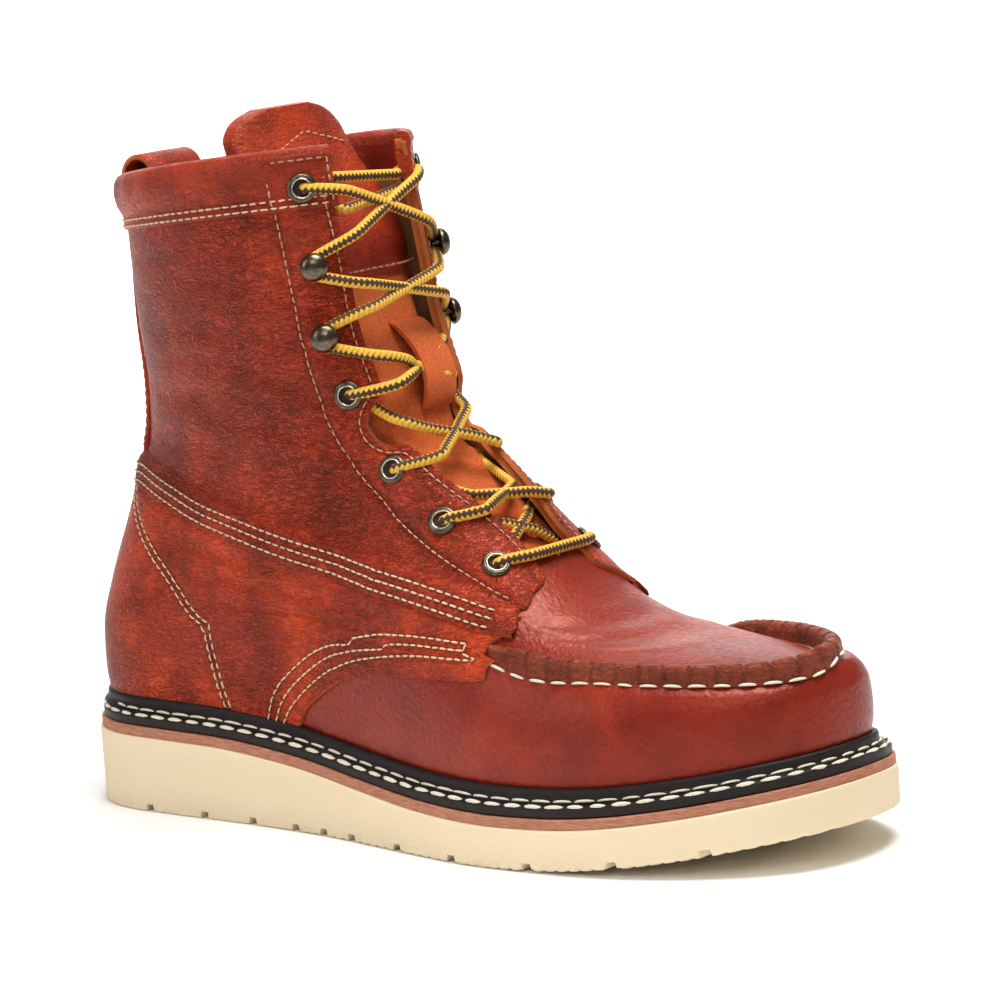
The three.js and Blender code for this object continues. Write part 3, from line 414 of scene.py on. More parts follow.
# The upper's outer face
def width_squared(x, z):
    """Half the upper's width, squared, at a point of the side view. It is below zero outside."""
    x, z = np.broadcast_arrays(np.asarray(x, float), np.asarray(z, float))
    up = z / COLLAR_HEIGHT
    heel_x = LENGTH * HEEL_IN(up)
    toe_x = LENGTH * (1 - TOE_IN(z / TOE_HEIGHT))
    heel_round = HEEL_ROUND - WELT_REACH / 2
    toe_round = TOE_ROUND - WELT_REACH
    heel = np.maximum((heel_x + heel_round - x) / heel_round, 0)
    toe = np.maximum((x - toe_x + toe_round) / toe_round, 0)
    heel = signed_power(1 - heel**ROUND_POWER, 2 / ROUND_POWER)
    toe = signed_power(1 - toe**ROUND_POWER, 2 / ROUND_POWER)

    base = welt_z(x)
    widest = base + WIDEST_UP * TOE_HEIGHT
    top = share(TOE_HEIGHT, INSTEP_HEIGHT, INSTEP_RISE(x / LENGTH))
    square = INSTEP_SQUARE(x / LENGTH)
    height = np.maximum((z - widest) / (top - widest), 0)
    section = signed_power(1 - height**square, 2 / square)
    tuck = 1 - TUCK * np.clip((widest - z) / (widest - base), 0, 1.3) ** 2
    half = (sole_half(x) - WELT_REACH) * tuck
    worst = np.minimum(np.minimum(heel, toe), section)
    foot = half * half * np.where(worst < 0, worst, heel * toe * section)

    back = LENGTH * SHAFT_BACK(up)
    depth = SHAFT_DEPTH * SHAFT_DEEP(up)
    along = (x - back) / depth - SHAFT_WIDEST
    behind = along < 0
    off = np.abs(along) / np.where(behind, SHAFT_WIDEST, 1 - SHAFT_WIDEST)
    power = np.where(behind, SHAFT_SQUARE(up), SHAFT_FRONT_POWER)
    shaft_half = SHAFT_WIDTH / 2 * SHAFT_HALF(up)
    shaft = shaft_half * shaft_half * signed_power(1 - off**power, 2 / power)

    soft = SOFTEN * SOFTEN
    joined = (foot + shaft + np.hypot(foot - shaft, soft)) / 2
    return joined - soft / 2 * np.clip(np.minimum(foot, shaft) / (2 * soft), 0, 1)


def middle(x, z):
    t = smooth((z - TOE_HEIGHT) / (SHAFT_FROM * COLLAR_HEIGHT))
    return share(sole_centre(x), SHAFT_SHIFT, t)


LINE_INSIDE = 0.55
ROW_STEP = 0.05


def line_ends():
    """Both ends of closely spaced section lines: x and z at the back, x and z at the front."""
    rows = np.arange(0, TOP_ROW + ROW_STEP / 2, ROW_STEP)
    back = np.stack([np.zeros_like(rows), COLLAR_HEIGHT * LINE_BACK(rows)], 1)
    front_z = TOE_HEIGHT * LINE_TOE(rows) + (COLLAR_HEIGHT - TOE_HEIGHT) * LINE_ABOVE(rows)
    front = np.stack([LENGTH * LINE_FRONT(rows), front_z], 1)
    inside = share(back, front, LINE_INSIDE)
    ends = []
    for target in (back, front):
        step = unit(target - inside)
        reach = np.arange(0, 260)
        way = inside[:, None] + step[:, None] * reach[None, :, None]
        near = (width_squared(way[..., 0], way[..., 1]) <= 0).argmax(axis=1).astype(float) - 1
        far = near + 1
        for _ in range(40):
            half = (near + far) / 2
            p = inside + step * half[:, None]
            out = width_squared(p[:, 0], p[:, 1]) <= 0
            far = np.where(out, half, far)
            near = np.where(out, near, half)
        ends.append(inside + step * near[:, None])
    return rows, np.hstack(ends)


LINE_ROWS, LINE_ENDS = line_ends()


def side_point(row, t):
    ends = [np.interp(row, LINE_ROWS, LINE_ENDS[:, c]) for c in range(4)]
    return share(ends[0], ends[2], t), share(ends[1], ends[3], t)


SETTLE_AHEAD = 5.0  # how far the back of the collar has settled to the front, and down
SETTLE_DOWN = 6.5


def skin(row, angle):
    """A point of the outer face. The angle goes from -pi at the front round the outer side to 0 at the
    back seam, and on round the inner side to pi."""
    x, z = side_point(row, share_of(angle))
    half = np.sqrt(np.maximum(width_squared(x, z), 0))
    behind = (1 + np.cos(angle)) / 2
    y = middle(x, z) + half * np.sign(np.sin(angle))
    ahead = SETTLE_AHEAD * smooth((z - 150) / 70) * behind**1.3
    down = SETTLE_DOWN * smooth((z - 160) / 56) * behind**2
    return np.stack([x + ahead, y, z - down], -1)


def skin_normal(row, angle):
    row, angle = np.broadcast_arrays(np.asarray(row, float), np.asarray(angle, float))
    low, high = np.maximum(row - 0.12, 0), np.minimum(row + 0.12, TOP_ROW)
    up = skin(high, angle) - skin(low, angle)
    round_ = skin(row, angle + 0.02) - skin(row, angle - 0.02)
    return unit(np.cross(up, round_))


def angle_of(t, side):
    return side * np.arccos(np.clip(1 - 2 * np.asarray(t, float), -1, 1))


def share_at_half(row, half):
    """The share of a section line, in front of its widest place, where half the width is as given."""
    row, half = np.broadcast_arrays(np.asarray(row, float), np.asarray(half, float))
    near, far = np.ones(row.shape), np.full(row.shape, 0.6)
    for _ in range(40):
        t = (near + far) / 2
        x, z = side_point(row, t)
        narrow = width_squared(x, z) < half * half
        near = np.where(narrow, t, near)
        far = np.where(narrow, far, t)
    return (near + far) / 2


def row_at(angle, height_at, low=0.0, high=24.9):
    """The section line on which the face reaches the height given for its x."""
    angle = np.asarray(angle, float)
    low, high = np.full(angle.shape, low), np.full(angle.shape, high)
    for _ in range(34):
        row = (low + high) / 2
        x, z = side_point(row, share_of(angle))
        under = z < height_at(x)
        low = np.where(under, row, low)
        high = np.where(under, high, row)
    return (low + high) / 2


RIM_BACK = 0.1 * LENGTH
RIM_FRONT = 0.4 * LENGTH


def collar_z(x):
    return COLLAR_HEIGHT + COLLAR_RISE * np.clip((x - RIM_BACK) / (RIM_FRONT - RIM_BACK), 0, 1)


# Soft creases of the leather, listed one by one: section line, first and last share, fall of the line
# from back to front, bow of the line, width in mm, depth in mm, and the side, 0 for both.
CREASES = [
    (19.4, 0.10, 0.62, 0.25, 0.30, 2.6, 0.55, -1),
    (18.5, 0.25, 0.74, -0.30, 0.25, 2.4, 0.50, -1),
    (17.7, 0.05, 0.50, 0.20, 0.20, 3.0, 0.70, -1),
    (17.0, 0.30, 0.72, -0.25, -0.20, 2.6, 0.60, -1),
    (16.3, 0.06, 0.46, 0.15, 0.25, 3.2, 0.75, -1),
    (20.6, 0.40, 0.78, -0.35, 0.20, 2.2, 0.45, -1),
    (21.2, 0.12, 0.40, 0.20, -0.15, 2.2, 0.35, -1),
    (18.9, 0.66, 0.93, -0.55, 0.15, 1.8, 0.50, -1),
    (19.9, 0.70, 0.94, -0.60, 0.15, 1.7, 0.45, -1),
    (17.9, 0.60, 0.84, -0.65, 0.20, 1.9, 0.50, -1),
    (16.6, 0.56, 0.82, -0.75, 0.20, 2.0, 0.50, -1),
    (15.6, 0.60, 0.84, -0.70, 0.15, 2.0, 0.40, -1),
    (12.6, 0.12, 0.55, -0.20, 0.30, 3.2, 0.50, -1),
    (11.2, 0.20, 0.70, -0.40, 0.30, 3.0, 0.45, -1),
    (9.6, 0.24, 0.60, -0.20, 0.35, 3.2, 0.40, -1),
    (19.0, 0.15, 0.70, 0.20, 0.30, 2.8, 0.55, 1),
    (17.9, 0.30, 0.80, -0.30, 0.25, 2.6, 0.60, 1),
    (17.1, 0.08, 0.55, 0.20, 0.20, 3.2, 0.75, 1),
    (16.2, 0.25, 0.70, -0.30, 0.20, 3.0, 0.65, 1),
    (20.5, 0.45, 0.85, -0.35, 0.20, 2.2, 0.45, 1),
    (12.4, 0.15, 0.60, -0.25, 0.30, 3.2, 0.50, 1),
    (10.8, 0.25, 0.75, -0.40, 0.30, 3.0, 0.45, 1),
    (10.6, 0.90, 1.00, 0.10, 0.10, 3.4, 0.55, 0),
    (9.9, 0.88, 1.00, 0.10, -0.10, 3.0, 0.45, 0),
    (11.4, 0.93, 1.00, 0.05, 0.10, 2.6, 0.40, 0),
]
MM_A_ROW = 9.5
MM_A_RADIAN = 55


def relief(row, angle):
    """Height of the creased leather over the smooth face, in mm."""
    t = share_of(angle)
    side = np.where(np.sin(angle) < 0, -1, 1)
    height = np.zeros(np.shape(t))
    for centre, first, last, fall, bow, width, depth, where in CREASES:
        s = (t - first) / (last - first)
        line = centre + fall * (s - 0.5) - bow * 4 * (s - 0.5) ** 2
        off = (row - line) * MM_A_ROW / width
        fade = smooth(s / 0.25) * smooth((1 - s) / 0.25)
        if last >= 1:
            fade = smooth(s / 0.35)
        shape = np.exp(-off * off) - 0.45 * np.exp(-((off - 1.7) ** 2)) - 0.45 * np.exp(-((off + 1.7) ** 2))
        height = height - depth * fade * shape * np.where((where == 0) | (side == where), 1, 0)
    return height


PLUG_DROP = 2.6  # depth of the trough along the moc seam's inner side
RIDGE_CENTRE = (LENGTH - RIDGE_TIP - RIDGE_REACH, TOE_SHIFT / 2)


def plug(points):
    """Height of the plug inside the moc seam, in mm."""
    x = points[..., 0] - RIDGE_CENTRE[0]
    y = points[..., 1] - RIDGE_CENTRE[1]
    off = np.sqrt((np.maximum(x, 0) / RIDGE_REACH) ** 2 + (y / RIDGE_HALF) ** 2)
    near = np.exp(-(((1 - off) / 0.26) ** 2)) * smooth((1.08 - off) / 0.08)
    inner = smooth((y + 12) / 30)
    toe = smooth((x - 40) / 50)
    flat = 0.9 * smooth((0.85 - off) / 0.3) * inner
    ahead = smooth((x + 8) / 30)
    return -(PLUG_DROP * near * np.maximum(inner, 0.45 * toe) + flat) * ahead * (points[..., 2] > 40)


def dressed(row, angle, lift):
    """Points over the outer face, by a height that may differ from point to point."""
    points = skin(row, angle)
    height = lift + relief(row, angle) + plug(points)
    return points + skin_normal(row, angle) * height[..., None]


# Meshes
root = "root"


def mesh_object(name, points, faces, material, smooth_shading=True, face_materials=None):
    """A mesh from points in mm, faces, and one material or several with an index for each face."""
    mesh = bpy.data.meshes.new(name)
    mesh.from_pydata(place(points).tolist(), [], [list(map(int, f)) for f in faces])
    materials = material if isinstance(material, (list, tuple)) else [material]
    for m in materials:
        mesh.materials.append(m)
    if face_materials is not None:
        mesh.polygons.foreach_set("material_index", np.asarray(face_materials, np.int32))
    mesh.polygons.foreach_set("use_smooth", np.full(len(mesh.polygons), smooth_shading))
    mesh.validate()
    mesh.update()
    obj = bpy.data.objects.new(name, mesh)
    bpy.context.scene.collection.objects.link(obj)
    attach(obj, root)
    return obj


def weld(obj, distance=0.03):
    """Joins the points that lie closer together than the distance in mm."""
    mesh = bmesh.new()
    mesh.from_mesh(obj.data)
    bmesh.ops.remove_doubles(mesh, verts=mesh.verts, dist=distance / 1000)
    mesh.to_mesh(obj.data)
    mesh.free()
    obj.data.update()


def attribute(obj, name, values):
    """A number at each vertex that the materials read."""
    layer = obj.data.attributes.new(name, "FLOAT", "POINT")
    layer.data.foreach_set("value", np.asarray(values, np.float32))


def grid_faces(rows, columns, closed=False, first=0):
    """Quads between rows of points, and from the last column to the first one where closed."""
    across = np.arange(columns if closed else columns - 1)
    a = (np.arange(rows - 1)[:, None] * columns + across[None, :]).ravel()
    right = (across + 1) % columns
    b = (np.arange(rows - 1)[:, None] * columns + right[None, :]).ravel()
    return np.stack([a, b, b + columns, a + columns], 1) + first


class Pieces:
    """Several meshes joined to one."""

    def __init__(self):
        self.points, self.faces, self.kinds, self.values, self.count = [], [], [], [], 0

    def add(self, points, faces, kind=0, value=0.0):
        points = np.asarray(points, float).reshape(-1, 3)
        self.points.append(points)
        self.faces += [[int(i) + self.count for i in f] for f in faces]
        self.kinds += [kind] * len(faces)
        self.values.append(np.broadcast_to(value, (len(points),)))
        self.count += len(points)

    def cap(self, ring):
        self.add(ring, [list(range(len(ring)))])

    def walls(self, pairs, kind=0, flip=False):
        """Strips between pairs of lines."""
        for line, other in pairs:
            faces = grid_faces(2, len(line))
            self.add(np.stack([line, other], 0), faces[:, ::-1] if flip else faces, kind)

    def sheet(self, top, low):
        """Two grids of points, one over the other, with walls round them."""
        faces = grid_faces(*top.shape[:2])
        self.add(top, faces[:, ::-1])
        self.add(low, faces)
        edges = [(top[:, 0], low[:, 0]), (low[:, -1], top[:, -1]), (low[-1], top[-1]), (top[0], low[0])]
        self.walls(edges, flip=True)

    def make(self, name, materials, value_name=None):
        obj = mesh_object(name, np.vstack(self.points), self.faces, materials, True, self.kinds)
        if value_name:
            attribute(obj, value_name, np.concatenate(self.values))
        return obj


def curve_on(places, side, count):
    """Evenly spaced rows and angles along a panel line, which is rounded at its corners."""
    places = np.asarray(places, float)
    rows, angles = places[:, 0], angle_of(places[:, 1], side)
    flat = np.stack([rows * MM_A_ROW, angles * MM_A_RADIAN], 1)
    along = distances(flat)
    fine = np.linspace(0, along[-1], 400)
    rows = smooth_line(along, rows, fine)
    angles = smooth_line(along, angles, fine)
    points = skin(rows, angles)
    real = distances(points)
    wanted = np.linspace(0, real[-1], count)
    return np.interp(wanted, real, rows), np.interp(wanted, real, angles), real[-1]


def smooth_line(along, values, wanted):
    (line,) = table(np.stack([along, values], 1))
    return line(wanted)


def shifted(rows, angles, distance):
    """A line on the face, moved sideways by a distance in mm to the left of its direction."""
    steps = max(int(math.ceil(abs(distance) / 1.5)), 1)
    for _ in range(steps):
        points = skin(rows, angles)
        tangent = unit(np.gradient(points, axis=0))
        wanted = np.cross(skin_normal(rows, angles), tangent) * distance / steps
        moved = np.stack(laid(rows, angles, wanted), 1)
        rows, angles = moved[:, 0], moved[:, 1]
    return rows, angles


def laid(rows, angles, wanted):
    """The rows and angles that lie by a small way along the face from the given ones."""
    up, round_ = face_steps(rows, angles)
    a, b, c = (up * up).sum(1), (up * round_).sum(1), (round_ * round_).sum(1)
    d, e = (up * wanted).sum(1), (round_ * wanted).sum(1)
    bottom = np.maximum(a * c - b * b, 1e-6)
    return rows + (c * d - b * e) / bottom, angles + (a * e - b * d) / bottom


def face_steps(rows, angles):
    """How the face runs on for a row, and for a radian, as vectors."""
    up = (skin(rows + 0.05, angles) - skin(rows - 0.05, angles)) / 0.1
    round_ = (skin(rows, angles + 0.01) - skin(rows, angles - 0.01)) / 0.02
    return up, round_


# Materials
def node_material(name):
    material = bpy.data.materials.new(name)
    material.use_nodes = True
    nodes, links = material.node_tree.nodes, material.node_tree.links
    return material, nodes, links, nodes["Principled BSDF"]


class Shader:
    """Short calls for the nodes of one material."""

    def __init__(self, name):
        self.material, self.nodes, self.links, self.bsdf = node_material(name)
        self.where = self.nodes.new("ShaderNodeTexCoord").outputs["Object"]

    def put(self, socket, value):
        if hasattr(value, "is_output"):
            self.links.new(value, socket)
        else:
            socket.default_value = value

    def set(self, **values):
        for name, value in values.items():
            self.put(self.bsdf.inputs[name.replace("_", " ")], value)

    def scaled(self, sizes):
        node = self.nodes.new("ShaderNodeMapping")
        self.links.new(self.where, node.inputs["Vector"])
        node.inputs["Scale"].default_value = sizes
        return node.outputs["Vector"]

    def noise(self, scale, detail=3.0, roughness=0.55, vector=None, distortion=0.0):
        node = self.nodes.new("ShaderNodeTexNoise")
        self.links.new(vector or self.where, node.inputs["Vector"])
        node.inputs["Scale"].default_value = scale
        node.inputs["Detail"].default_value = detail
        node.inputs["Roughness"].default_value = roughness
        node.inputs["Distortion"].default_value = distortion
        return node.outputs["Fac"]

    def cells(self, scale, feature="SMOOTH_F1", vector=None, randomness=1.0):
        node = self.nodes.new("ShaderNodeTexVoronoi")
        node.feature = feature
        self.links.new(vector or self.where, node.inputs["Vector"])
        node.inputs["Scale"].default_value = scale
        node.inputs["Randomness"].default_value = randomness
        return node.outputs["Distance"]

    def axes(self):
        """The place's x, y and z."""
        node = self.nodes.new("ShaderNodeSeparateXYZ")
        self.links.new(self.where, node.inputs[0])
        return node.outputs

    def value(self, name):
        node = self.nodes.new("ShaderNodeAttribute")
        node.attribute_name = name
        return node.outputs["Fac"]

    def math(self, operation, *values):
        node = self.nodes.new("ShaderNodeMath")
        node.operation = operation
        for i, v in enumerate(values):
            self.put(node.inputs[i], v)
        return node.outputs[0]

    def ramp(self, value, low, high, to_low=0.0, to_high=1.0):
        node = self.nodes.new("ShaderNodeMapRange")
        self.put(node.inputs["Value"], value)
        node.inputs["From Min"].default_value = low
        node.inputs["From Max"].default_value = high
        node.inputs["To Min"].default_value = to_low
        node.inputs["To Max"].default_value = to_high
        return node.outputs["Result"]

    def mix(self, fac, first, second):
        node = self.nodes.new("ShaderNodeMix")
        node.data_type = "RGBA"
        self.put(node.inputs["Factor"], fac)
        for socket, v in ((node.inputs[6], first), (node.inputs[7], second)):
            self.put(socket, v if hasattr(v, "is_output") else (*v, 1.0))
        return node.outputs[2]

    def bump(self, height, distance, strength=1.0, before=None):
        node = self.nodes.new("ShaderNodeBump")
        node.inputs["Distance"].default_value = distance
        node.inputs["Strength"].default_value = strength
        self.links.new(height, node.inputs["Height"])
        if before:
            self.links.new(before, node.inputs["Normal"])
        return node.outputs["Normal"]


def leather(name, deep, mid, warm, grain=1.0, wrinkles=0.0, gloss=0.46, warm_from=0.48):
    """Oiled full-grain leather: pebbled grain, fine wrinkles across the shaft, warm patches, and painted
    shade in the grain's hollows, the wrinkles' creases and along stitches.
    """
    s = Shader(name)
    patch = s.noise(24, 4, 0.6, distortion=0.6)
    blotch = s.noise(60, 3, 0.6)
    pebble = s.cells(620)
    pebble_fine = s.cells(1150)
    strength = s.ramp(s.noise(32, 2), 0.35, 0.65, 0.45, 1.0)
    folds = s.noise(235, 3, 0.5, s.scaled((0.8, 0.8, 2.3)), 1.3)
    valleys = s.ramp(s.math("ABSOLUTE", s.math("SUBTRACT", folds, 0.5)), 0.0, 0.055)
    small = s.noise(420, 3, 0.55, s.scaled((0.8, 0.8, 1.9)), 1.2)
    small_valleys = s.ramp(s.math("ABSOLUTE", s.math("SUBTRACT", small, 0.5)), 0.0, 0.07)
    base = s.mix(s.ramp(patch, warm_from, warm_from + 0.16), mid, warm)
    base = s.mix(s.ramp(blotch, 0.44, 0.7, 0.0, 0.6), base, deep)
    # Painted shade: darker in the hollows between the pebbles of the grain.
    base = s.mix(s.ramp(pebble, 0.3, 0.8, 0.0, 0.35 * grain), base, deep)
    # Painted shade: darker along the creases of the wrinkles.
    if wrinkles:
        base = s.mix(s.ramp(valleys, 0.0, 1.0, 0.42 * wrinkles, 0.0), base, deep)
    # Painted shade: the seam value mixes in near black, in the grooves along rows of stitches and in the
    # notches of the moc ridge.
    base = s.mix(s.math("MULTIPLY", s.value("seam"), 0.45), base, (0.06, 0.008, 0.004))
    s.set(Base_Color=base, Roughness=s.ramp(s.noise(500, 3), 0.3, 0.7, gloss - 0.06, gloss + 0.09))
    s.set(Coat_Weight=0.03, Coat_Roughness=0.30)
    s.set(Specular_IOR_Level=0.5, Specular_Tint=(1.0, 0.42, 0.30, 1.0))
    height = s.math("MULTIPLY", pebble, -0.6 * grain)
    height = s.math("ADD", height, s.math("MULTIPLY", pebble_fine, -0.3 * grain))
    normal = s.bump(height, 0.0010)
    if wrinkles:
        rough = s.math("ADD", valleys, s.math("MULTIPLY", small_valleys, 0.5))
        rough = s.math("ADD", rough, s.math("MULTIPLY", folds, 1.2))
        rough = s.math("MULTIPLY", rough, s.math("MULTIPLY", strength, wrinkles))
        normal = s.bump(rough, 0.00085, 1.0, normal)
    s.set(Normal=normal)
    return s.material


def cut_edge():
    s = Shader("cut_edge")
    fibre = s.noise(2600, 3)
    base = s.mix(fibre, (0.36, 0.085, 0.018), (0.58, 0.17, 0.035))
    s.set(Base_Color=base, Roughness=0.9, Normal=s.bump(fibre, 0.0003))
    return s.material


def suede():
    s = Shader("suede")
    nap = s.noise(1500, 4, 0.7)
    fleck = s.noise(3600, 2, 0.7)
    broad = s.noise(90, 3)
    base = s.mix(s.ramp(nap, 0.35, 0.68), (0.62, 0.075, 0.010), (0.96, 0.20, 0.024))
    base = s.mix(s.ramp(fleck, 0.55, 0.75, 0, 0.5), base, (0.95, 0.26, 0.06))
    base = s.mix(s.ramp(broad, 0.4, 0.7, 0, 0.25), base, (0.55, 0.07, 0.01))
    s.set(Base_Color=base, Roughness=0.95, Normal=s.bump(nap, 0.0009, 1.0, s.bump(fleck, 0.0004)))
    s.set(Sheen_Weight=0.25, Sheen_Roughness=0.4, Sheen_Tint=(1.0, 0.55, 0.3, 1.0))
    return s.material


def thread(name, light, dark):
    s = Shader(name)
    twist = s.noise(2400, 2)
    s.set(Base_Color=s.mix(twist, dark, light), Roughness=0.8, Normal=s.bump(twist, 0.00012))
    return s.material


def rubber():
    s = Shader("cream_rubber")
    fine = s.noise(1700, 3)
    cloud = s.noise(26, 3)
    base = s.mix(cloud, (0.80, 0.655, 0.43), (0.86, 0.72, 0.49))
    # Darker towards the bottom of the sole, in speckles.
    darker_near_floor = s.math("MULTIPLY", s.ramp(s.axes()["Z"], 0.0, 0.009, 0.45, 0.0), s.ramp(fine, 0.4, 0.7))
    base = s.mix(darker_near_floor, base, (0.42, 0.36, 0.28))
    s.set(Base_Color=base, Roughness=0.72, Normal=s.bump(fine, 0.00018))
    s.set(Subsurface_Weight=0.08, Subsurface_Radius=(0.004, 0.0025, 0.0012))
    return s.material


def layered_midsole():
    s = Shader("midsole_leather")
    fibre = s.noise(900, 4, 0.6, s.scaled((0.3, 0.3, 3.0)))
    base = s.mix(s.ramp(fibre, 0.35, 0.7), (0.36, 0.13, 0.07), (0.62, 0.27, 0.16))
    s.set(Base_Color=base, Roughness=0.78, Normal=s.bump(fibre, 0.0005))
    return s.material


def black_welt():
    s = Shader("welt_rubber")
    fine = s.noise(1400, 3)
    cloud = s.noise(120, 3)
    base = s.mix(cloud, (0.008, 0.006, 0.006), (0.022, 0.015, 0.013))
    s.set(Base_Color=base, Roughness=s.ramp(cloud, 0.3, 0.7, 0.38, 0.56), Normal=s.bump(fine, 0.00022))
    s.set(Specular_IOR_Level=0.22)
    return s.material


def metal(name, light, dark, rough):
    s = Shader(name)
    worn = s.noise(600, 4, 0.65)
    scratch = s.noise(1800, 2, 0.5, s.scaled((4.0, 0.4, 0.4)))
    base = s.mix(s.ramp(worn, 0.35, 0.65), dark, light)
    s.set(Base_Color=base, Metallic=1.0)
    s.set(Roughness=s.ramp(scratch, 0.3, 0.7, rough - 0.06, rough + 0.12))
    s.set(Normal=s.bump(worn, 0.00008))
    return s.material


BRAID_PITCH = 1.7  # mm between the chevrons of the lace


def lace_cord():
    """Round braid: golden yarns with dark brown chevrons along it."""
    s = Shader("lace_cord")
    along, around = s.value("along"), s.value("around")
    band = s.math("PINGPONG", s.math("MULTIPLY", around, 4.0), 1.0)
    tooth = s.math("PINGPONG", s.math("DIVIDE", along, BRAID_PITCH), 0.5)
    dark = s.ramp(s.math("ADD", band, s.math("MULTIPLY", tooth, 0.8)), 0.82, 0.90)
    twist = s.math("ADD", s.math("DIVIDE", along, BRAID_PITCH), s.math("MULTIPLY", band, 0.8))
    yarn = s.math("PINGPONG", twist, 0.5)
    gold = s.mix(s.noise(1400, 2), (0.66, 0.33, 0.022), (0.92, 0.56, 0.060))
    brown = s.mix(s.noise(1400, 2), (0.030, 0.010, 0.004), (0.085, 0.030, 0.009))
    base = s.mix(dark, gold, brown)
    # Painted shade: darker in the grooves between the yarns.
    base = s.mix(s.ramp(yarn, 0.0, 0.16, 0.55, 0.0), base, (0.05, 0.02, 0.008))
    s.set(Base_Color=base, Roughness=0.72, Normal=s.bump(yarn, 0.0005))
    return s.material


def hole_shade_material():
    # Near black, for the disc that stands in for the shade inside each eyelet: painted shade.
    s = Shader("eyelet_hole_shade")
    fibre = s.noise(1600, 2)
    s.set(Base_Color=s.mix(fibre, (0.012, 0.004, 0.003), (0.035, 0.010, 0.006)), Roughness=0.9)
    return s.material


DEEP = (0.115, 0.012, 0.005)
SHAFT_LEATHER = leather("shaft_leather", DEEP, (0.42, 0.034, 0.010), (0.60, 0.056, 0.010), 0.75, 1.0, 0.42)
QUARTER_LEATHER = leather(
    "quarter_leather", DEEP, (0.40, 0.030, 0.008), (0.66, 0.060, 0.009), 0.7, 0.7, 0.42, 0.42
)
VAMP_LEATHER = leather(
    "vamp_leather", (0.12, 0.010, 0.006), (0.23, 0.018, 0.009), (0.30, 0.028, 0.009), 0.32, 0.0, 0.36
)
BAND_LEATHER = leather("band_leather", DEEP, (0.34, 0.028, 0.009), (0.50, 0.048, 0.009), 0.5, 0.35, 0.40)
RIDGE_LEATHER = leather(
    "ridge_leather", (0.05, 0.010, 0.006), (0.24, 0.040, 0.017), (0.33, 0.065, 0.028), 0.7, 0.5, 0.46
)
LINING = leather(
    "lining_leather", (0.26, 0.12, 0.055), (0.38, 0.20, 0.09), (0.44, 0.25, 0.12), 0.5, 0.0, 0.62
)
CUT = cut_edge()
SUEDE = suede()
CREAM_THREAD = thread("cream_thread", (0.83, 0.66, 0.46), (0.56, 0.36, 0.21))
WHITE_THREAD = thread("white_thread", (0.88, 0.84, 0.72), (0.60, 0.52, 0.38))
FACING_THREAD = thread("facing_thread", (0.66, 0.40, 0.26), (0.42, 0.20, 0.11))
RUBBER = rubber()
MIDSOLE_LEATHER = layered_midsole()
WELT_RUBBER = black_welt()
BRASS_RIM = metal("eyelet_rim", (0.16, 0.13, 0.085), (0.06, 0.05, 0.035), 0.34)
BRASS_RING = metal("eyelet_ring", (0.66, 0.61, 0.52), (0.40, 0.36, 0.28), 0.22)
BRONZE = metal("hook_bronze", (0.17, 0.135, 0.09), (0.085, 0.065, 0.045), 0.24)
CORD = lace_cord()
HOLE_SHADE = hole_shade_material()


# Stitching
class Stitches:
    """Rows of stitches of one thread, joined to one mesh."""

    SIDES = 6
    # The rings of one stitch: share of its length, share of its radius, and rise as a share of its thickness
    RINGS = np.array([
        (0.0, 0.25, -0.42), (0.08, 0.72, -0.12), (0.3, 0.98, 0.16), (0.5, 1.0, 0.22), (0.7, 0.98, 0.16),
        (0.92, 0.72, -0.12), (1.0, 0.25, -0.42),
    ])

    def __init__(self):
        self.joined = Pieces()
        self.random = np.random.default_rng(7)

    def row(self, points, normals, pitch=3.3, fill=0.80, radius=0.34, lift=0.1, start=0.0):
        """A row along points on the face, with the face's normals."""
        points, normals = np.asarray(points, float), np.asarray(normals, float)
        along = distances(points)
        count = max(int(round((along[-1] - start) / pitch)), 1)
        step = (along[-1] - start) / count

        def at(values, where):
            return np.stack([np.interp(where, along, values[:, c]) for c in range(3)], -1)

        turn = np.linspace(0, 2 * np.pi, self.SIDES, endpoint=False)
        ts, scales, rises = self.RINGS.T
        for i in range(count):
            length = step * fill * (1 + 0.08 * self.random.standard_normal())
            first = start + step * (i + 0.5) - length / 2
            where = first + ts * length
            centre = at(points, where)
            normal = unit(at(normals, where))
            tangent = unit(at(points, where + 0.05) - at(points, where - 0.05))
            side = unit(np.cross(normal, tangent))
            thick = radius * (1 + 0.06 * self.random.standard_normal())
            skew = 0.12 * radius * self.random.standard_normal()
            centre = centre + normal * (lift + rises * 2 * radius)[:, None]
            centre = centre + side * (skew * (ts - 0.5) * 2)[:, None]
            ring = (
                centre[:, None]
                + side[:, None] * (np.cos(turn)[None, :, None] * (thick * scales)[:, None, None])
                + normal[:, None] * (np.sin(turn)[None, :, None] * (0.8 * thick * scales)[:, None, None])
            )
            faces = grid_faces(len(ts), self.SIDES, closed=True).tolist()
            faces.append(list(range(self.SIDES))[::-1])
            faces.append(list(range((len(ts) - 1) * self.SIDES, len(ts) * self.SIDES)))
            self.joined.add(ring, faces)

    def on_skin(self, rows, angles, lift, **how):
        """A row on the leather at rows and angles of the skin."""
        normal = skin_normal(rows, angles)
        points = dressed(rows, angles, np.full(np.shape(rows), lift))
        self.row(points, normal, **how)

    def make(self, name, material):
        return self.joined.make(name, [material])


cream = Stitches()
fine = Stitches()
# The leather is also painted darker along these lines, as shade in the grooves beside the stitches.
SEAMS = []  # lines that the leather dips along, as points in mm


def softened(values, reach=9):
    """A running mean that keeps both ends."""
    padded = np.concatenate([
        2 * values[0] - values[reach:0:-1], values, 2 * values[-1] - values[-2:-reach - 2:-1]
    ])
    return np.convolve(padded, np.ones(2 * reach + 1) / (2 * reach + 1), "valid")


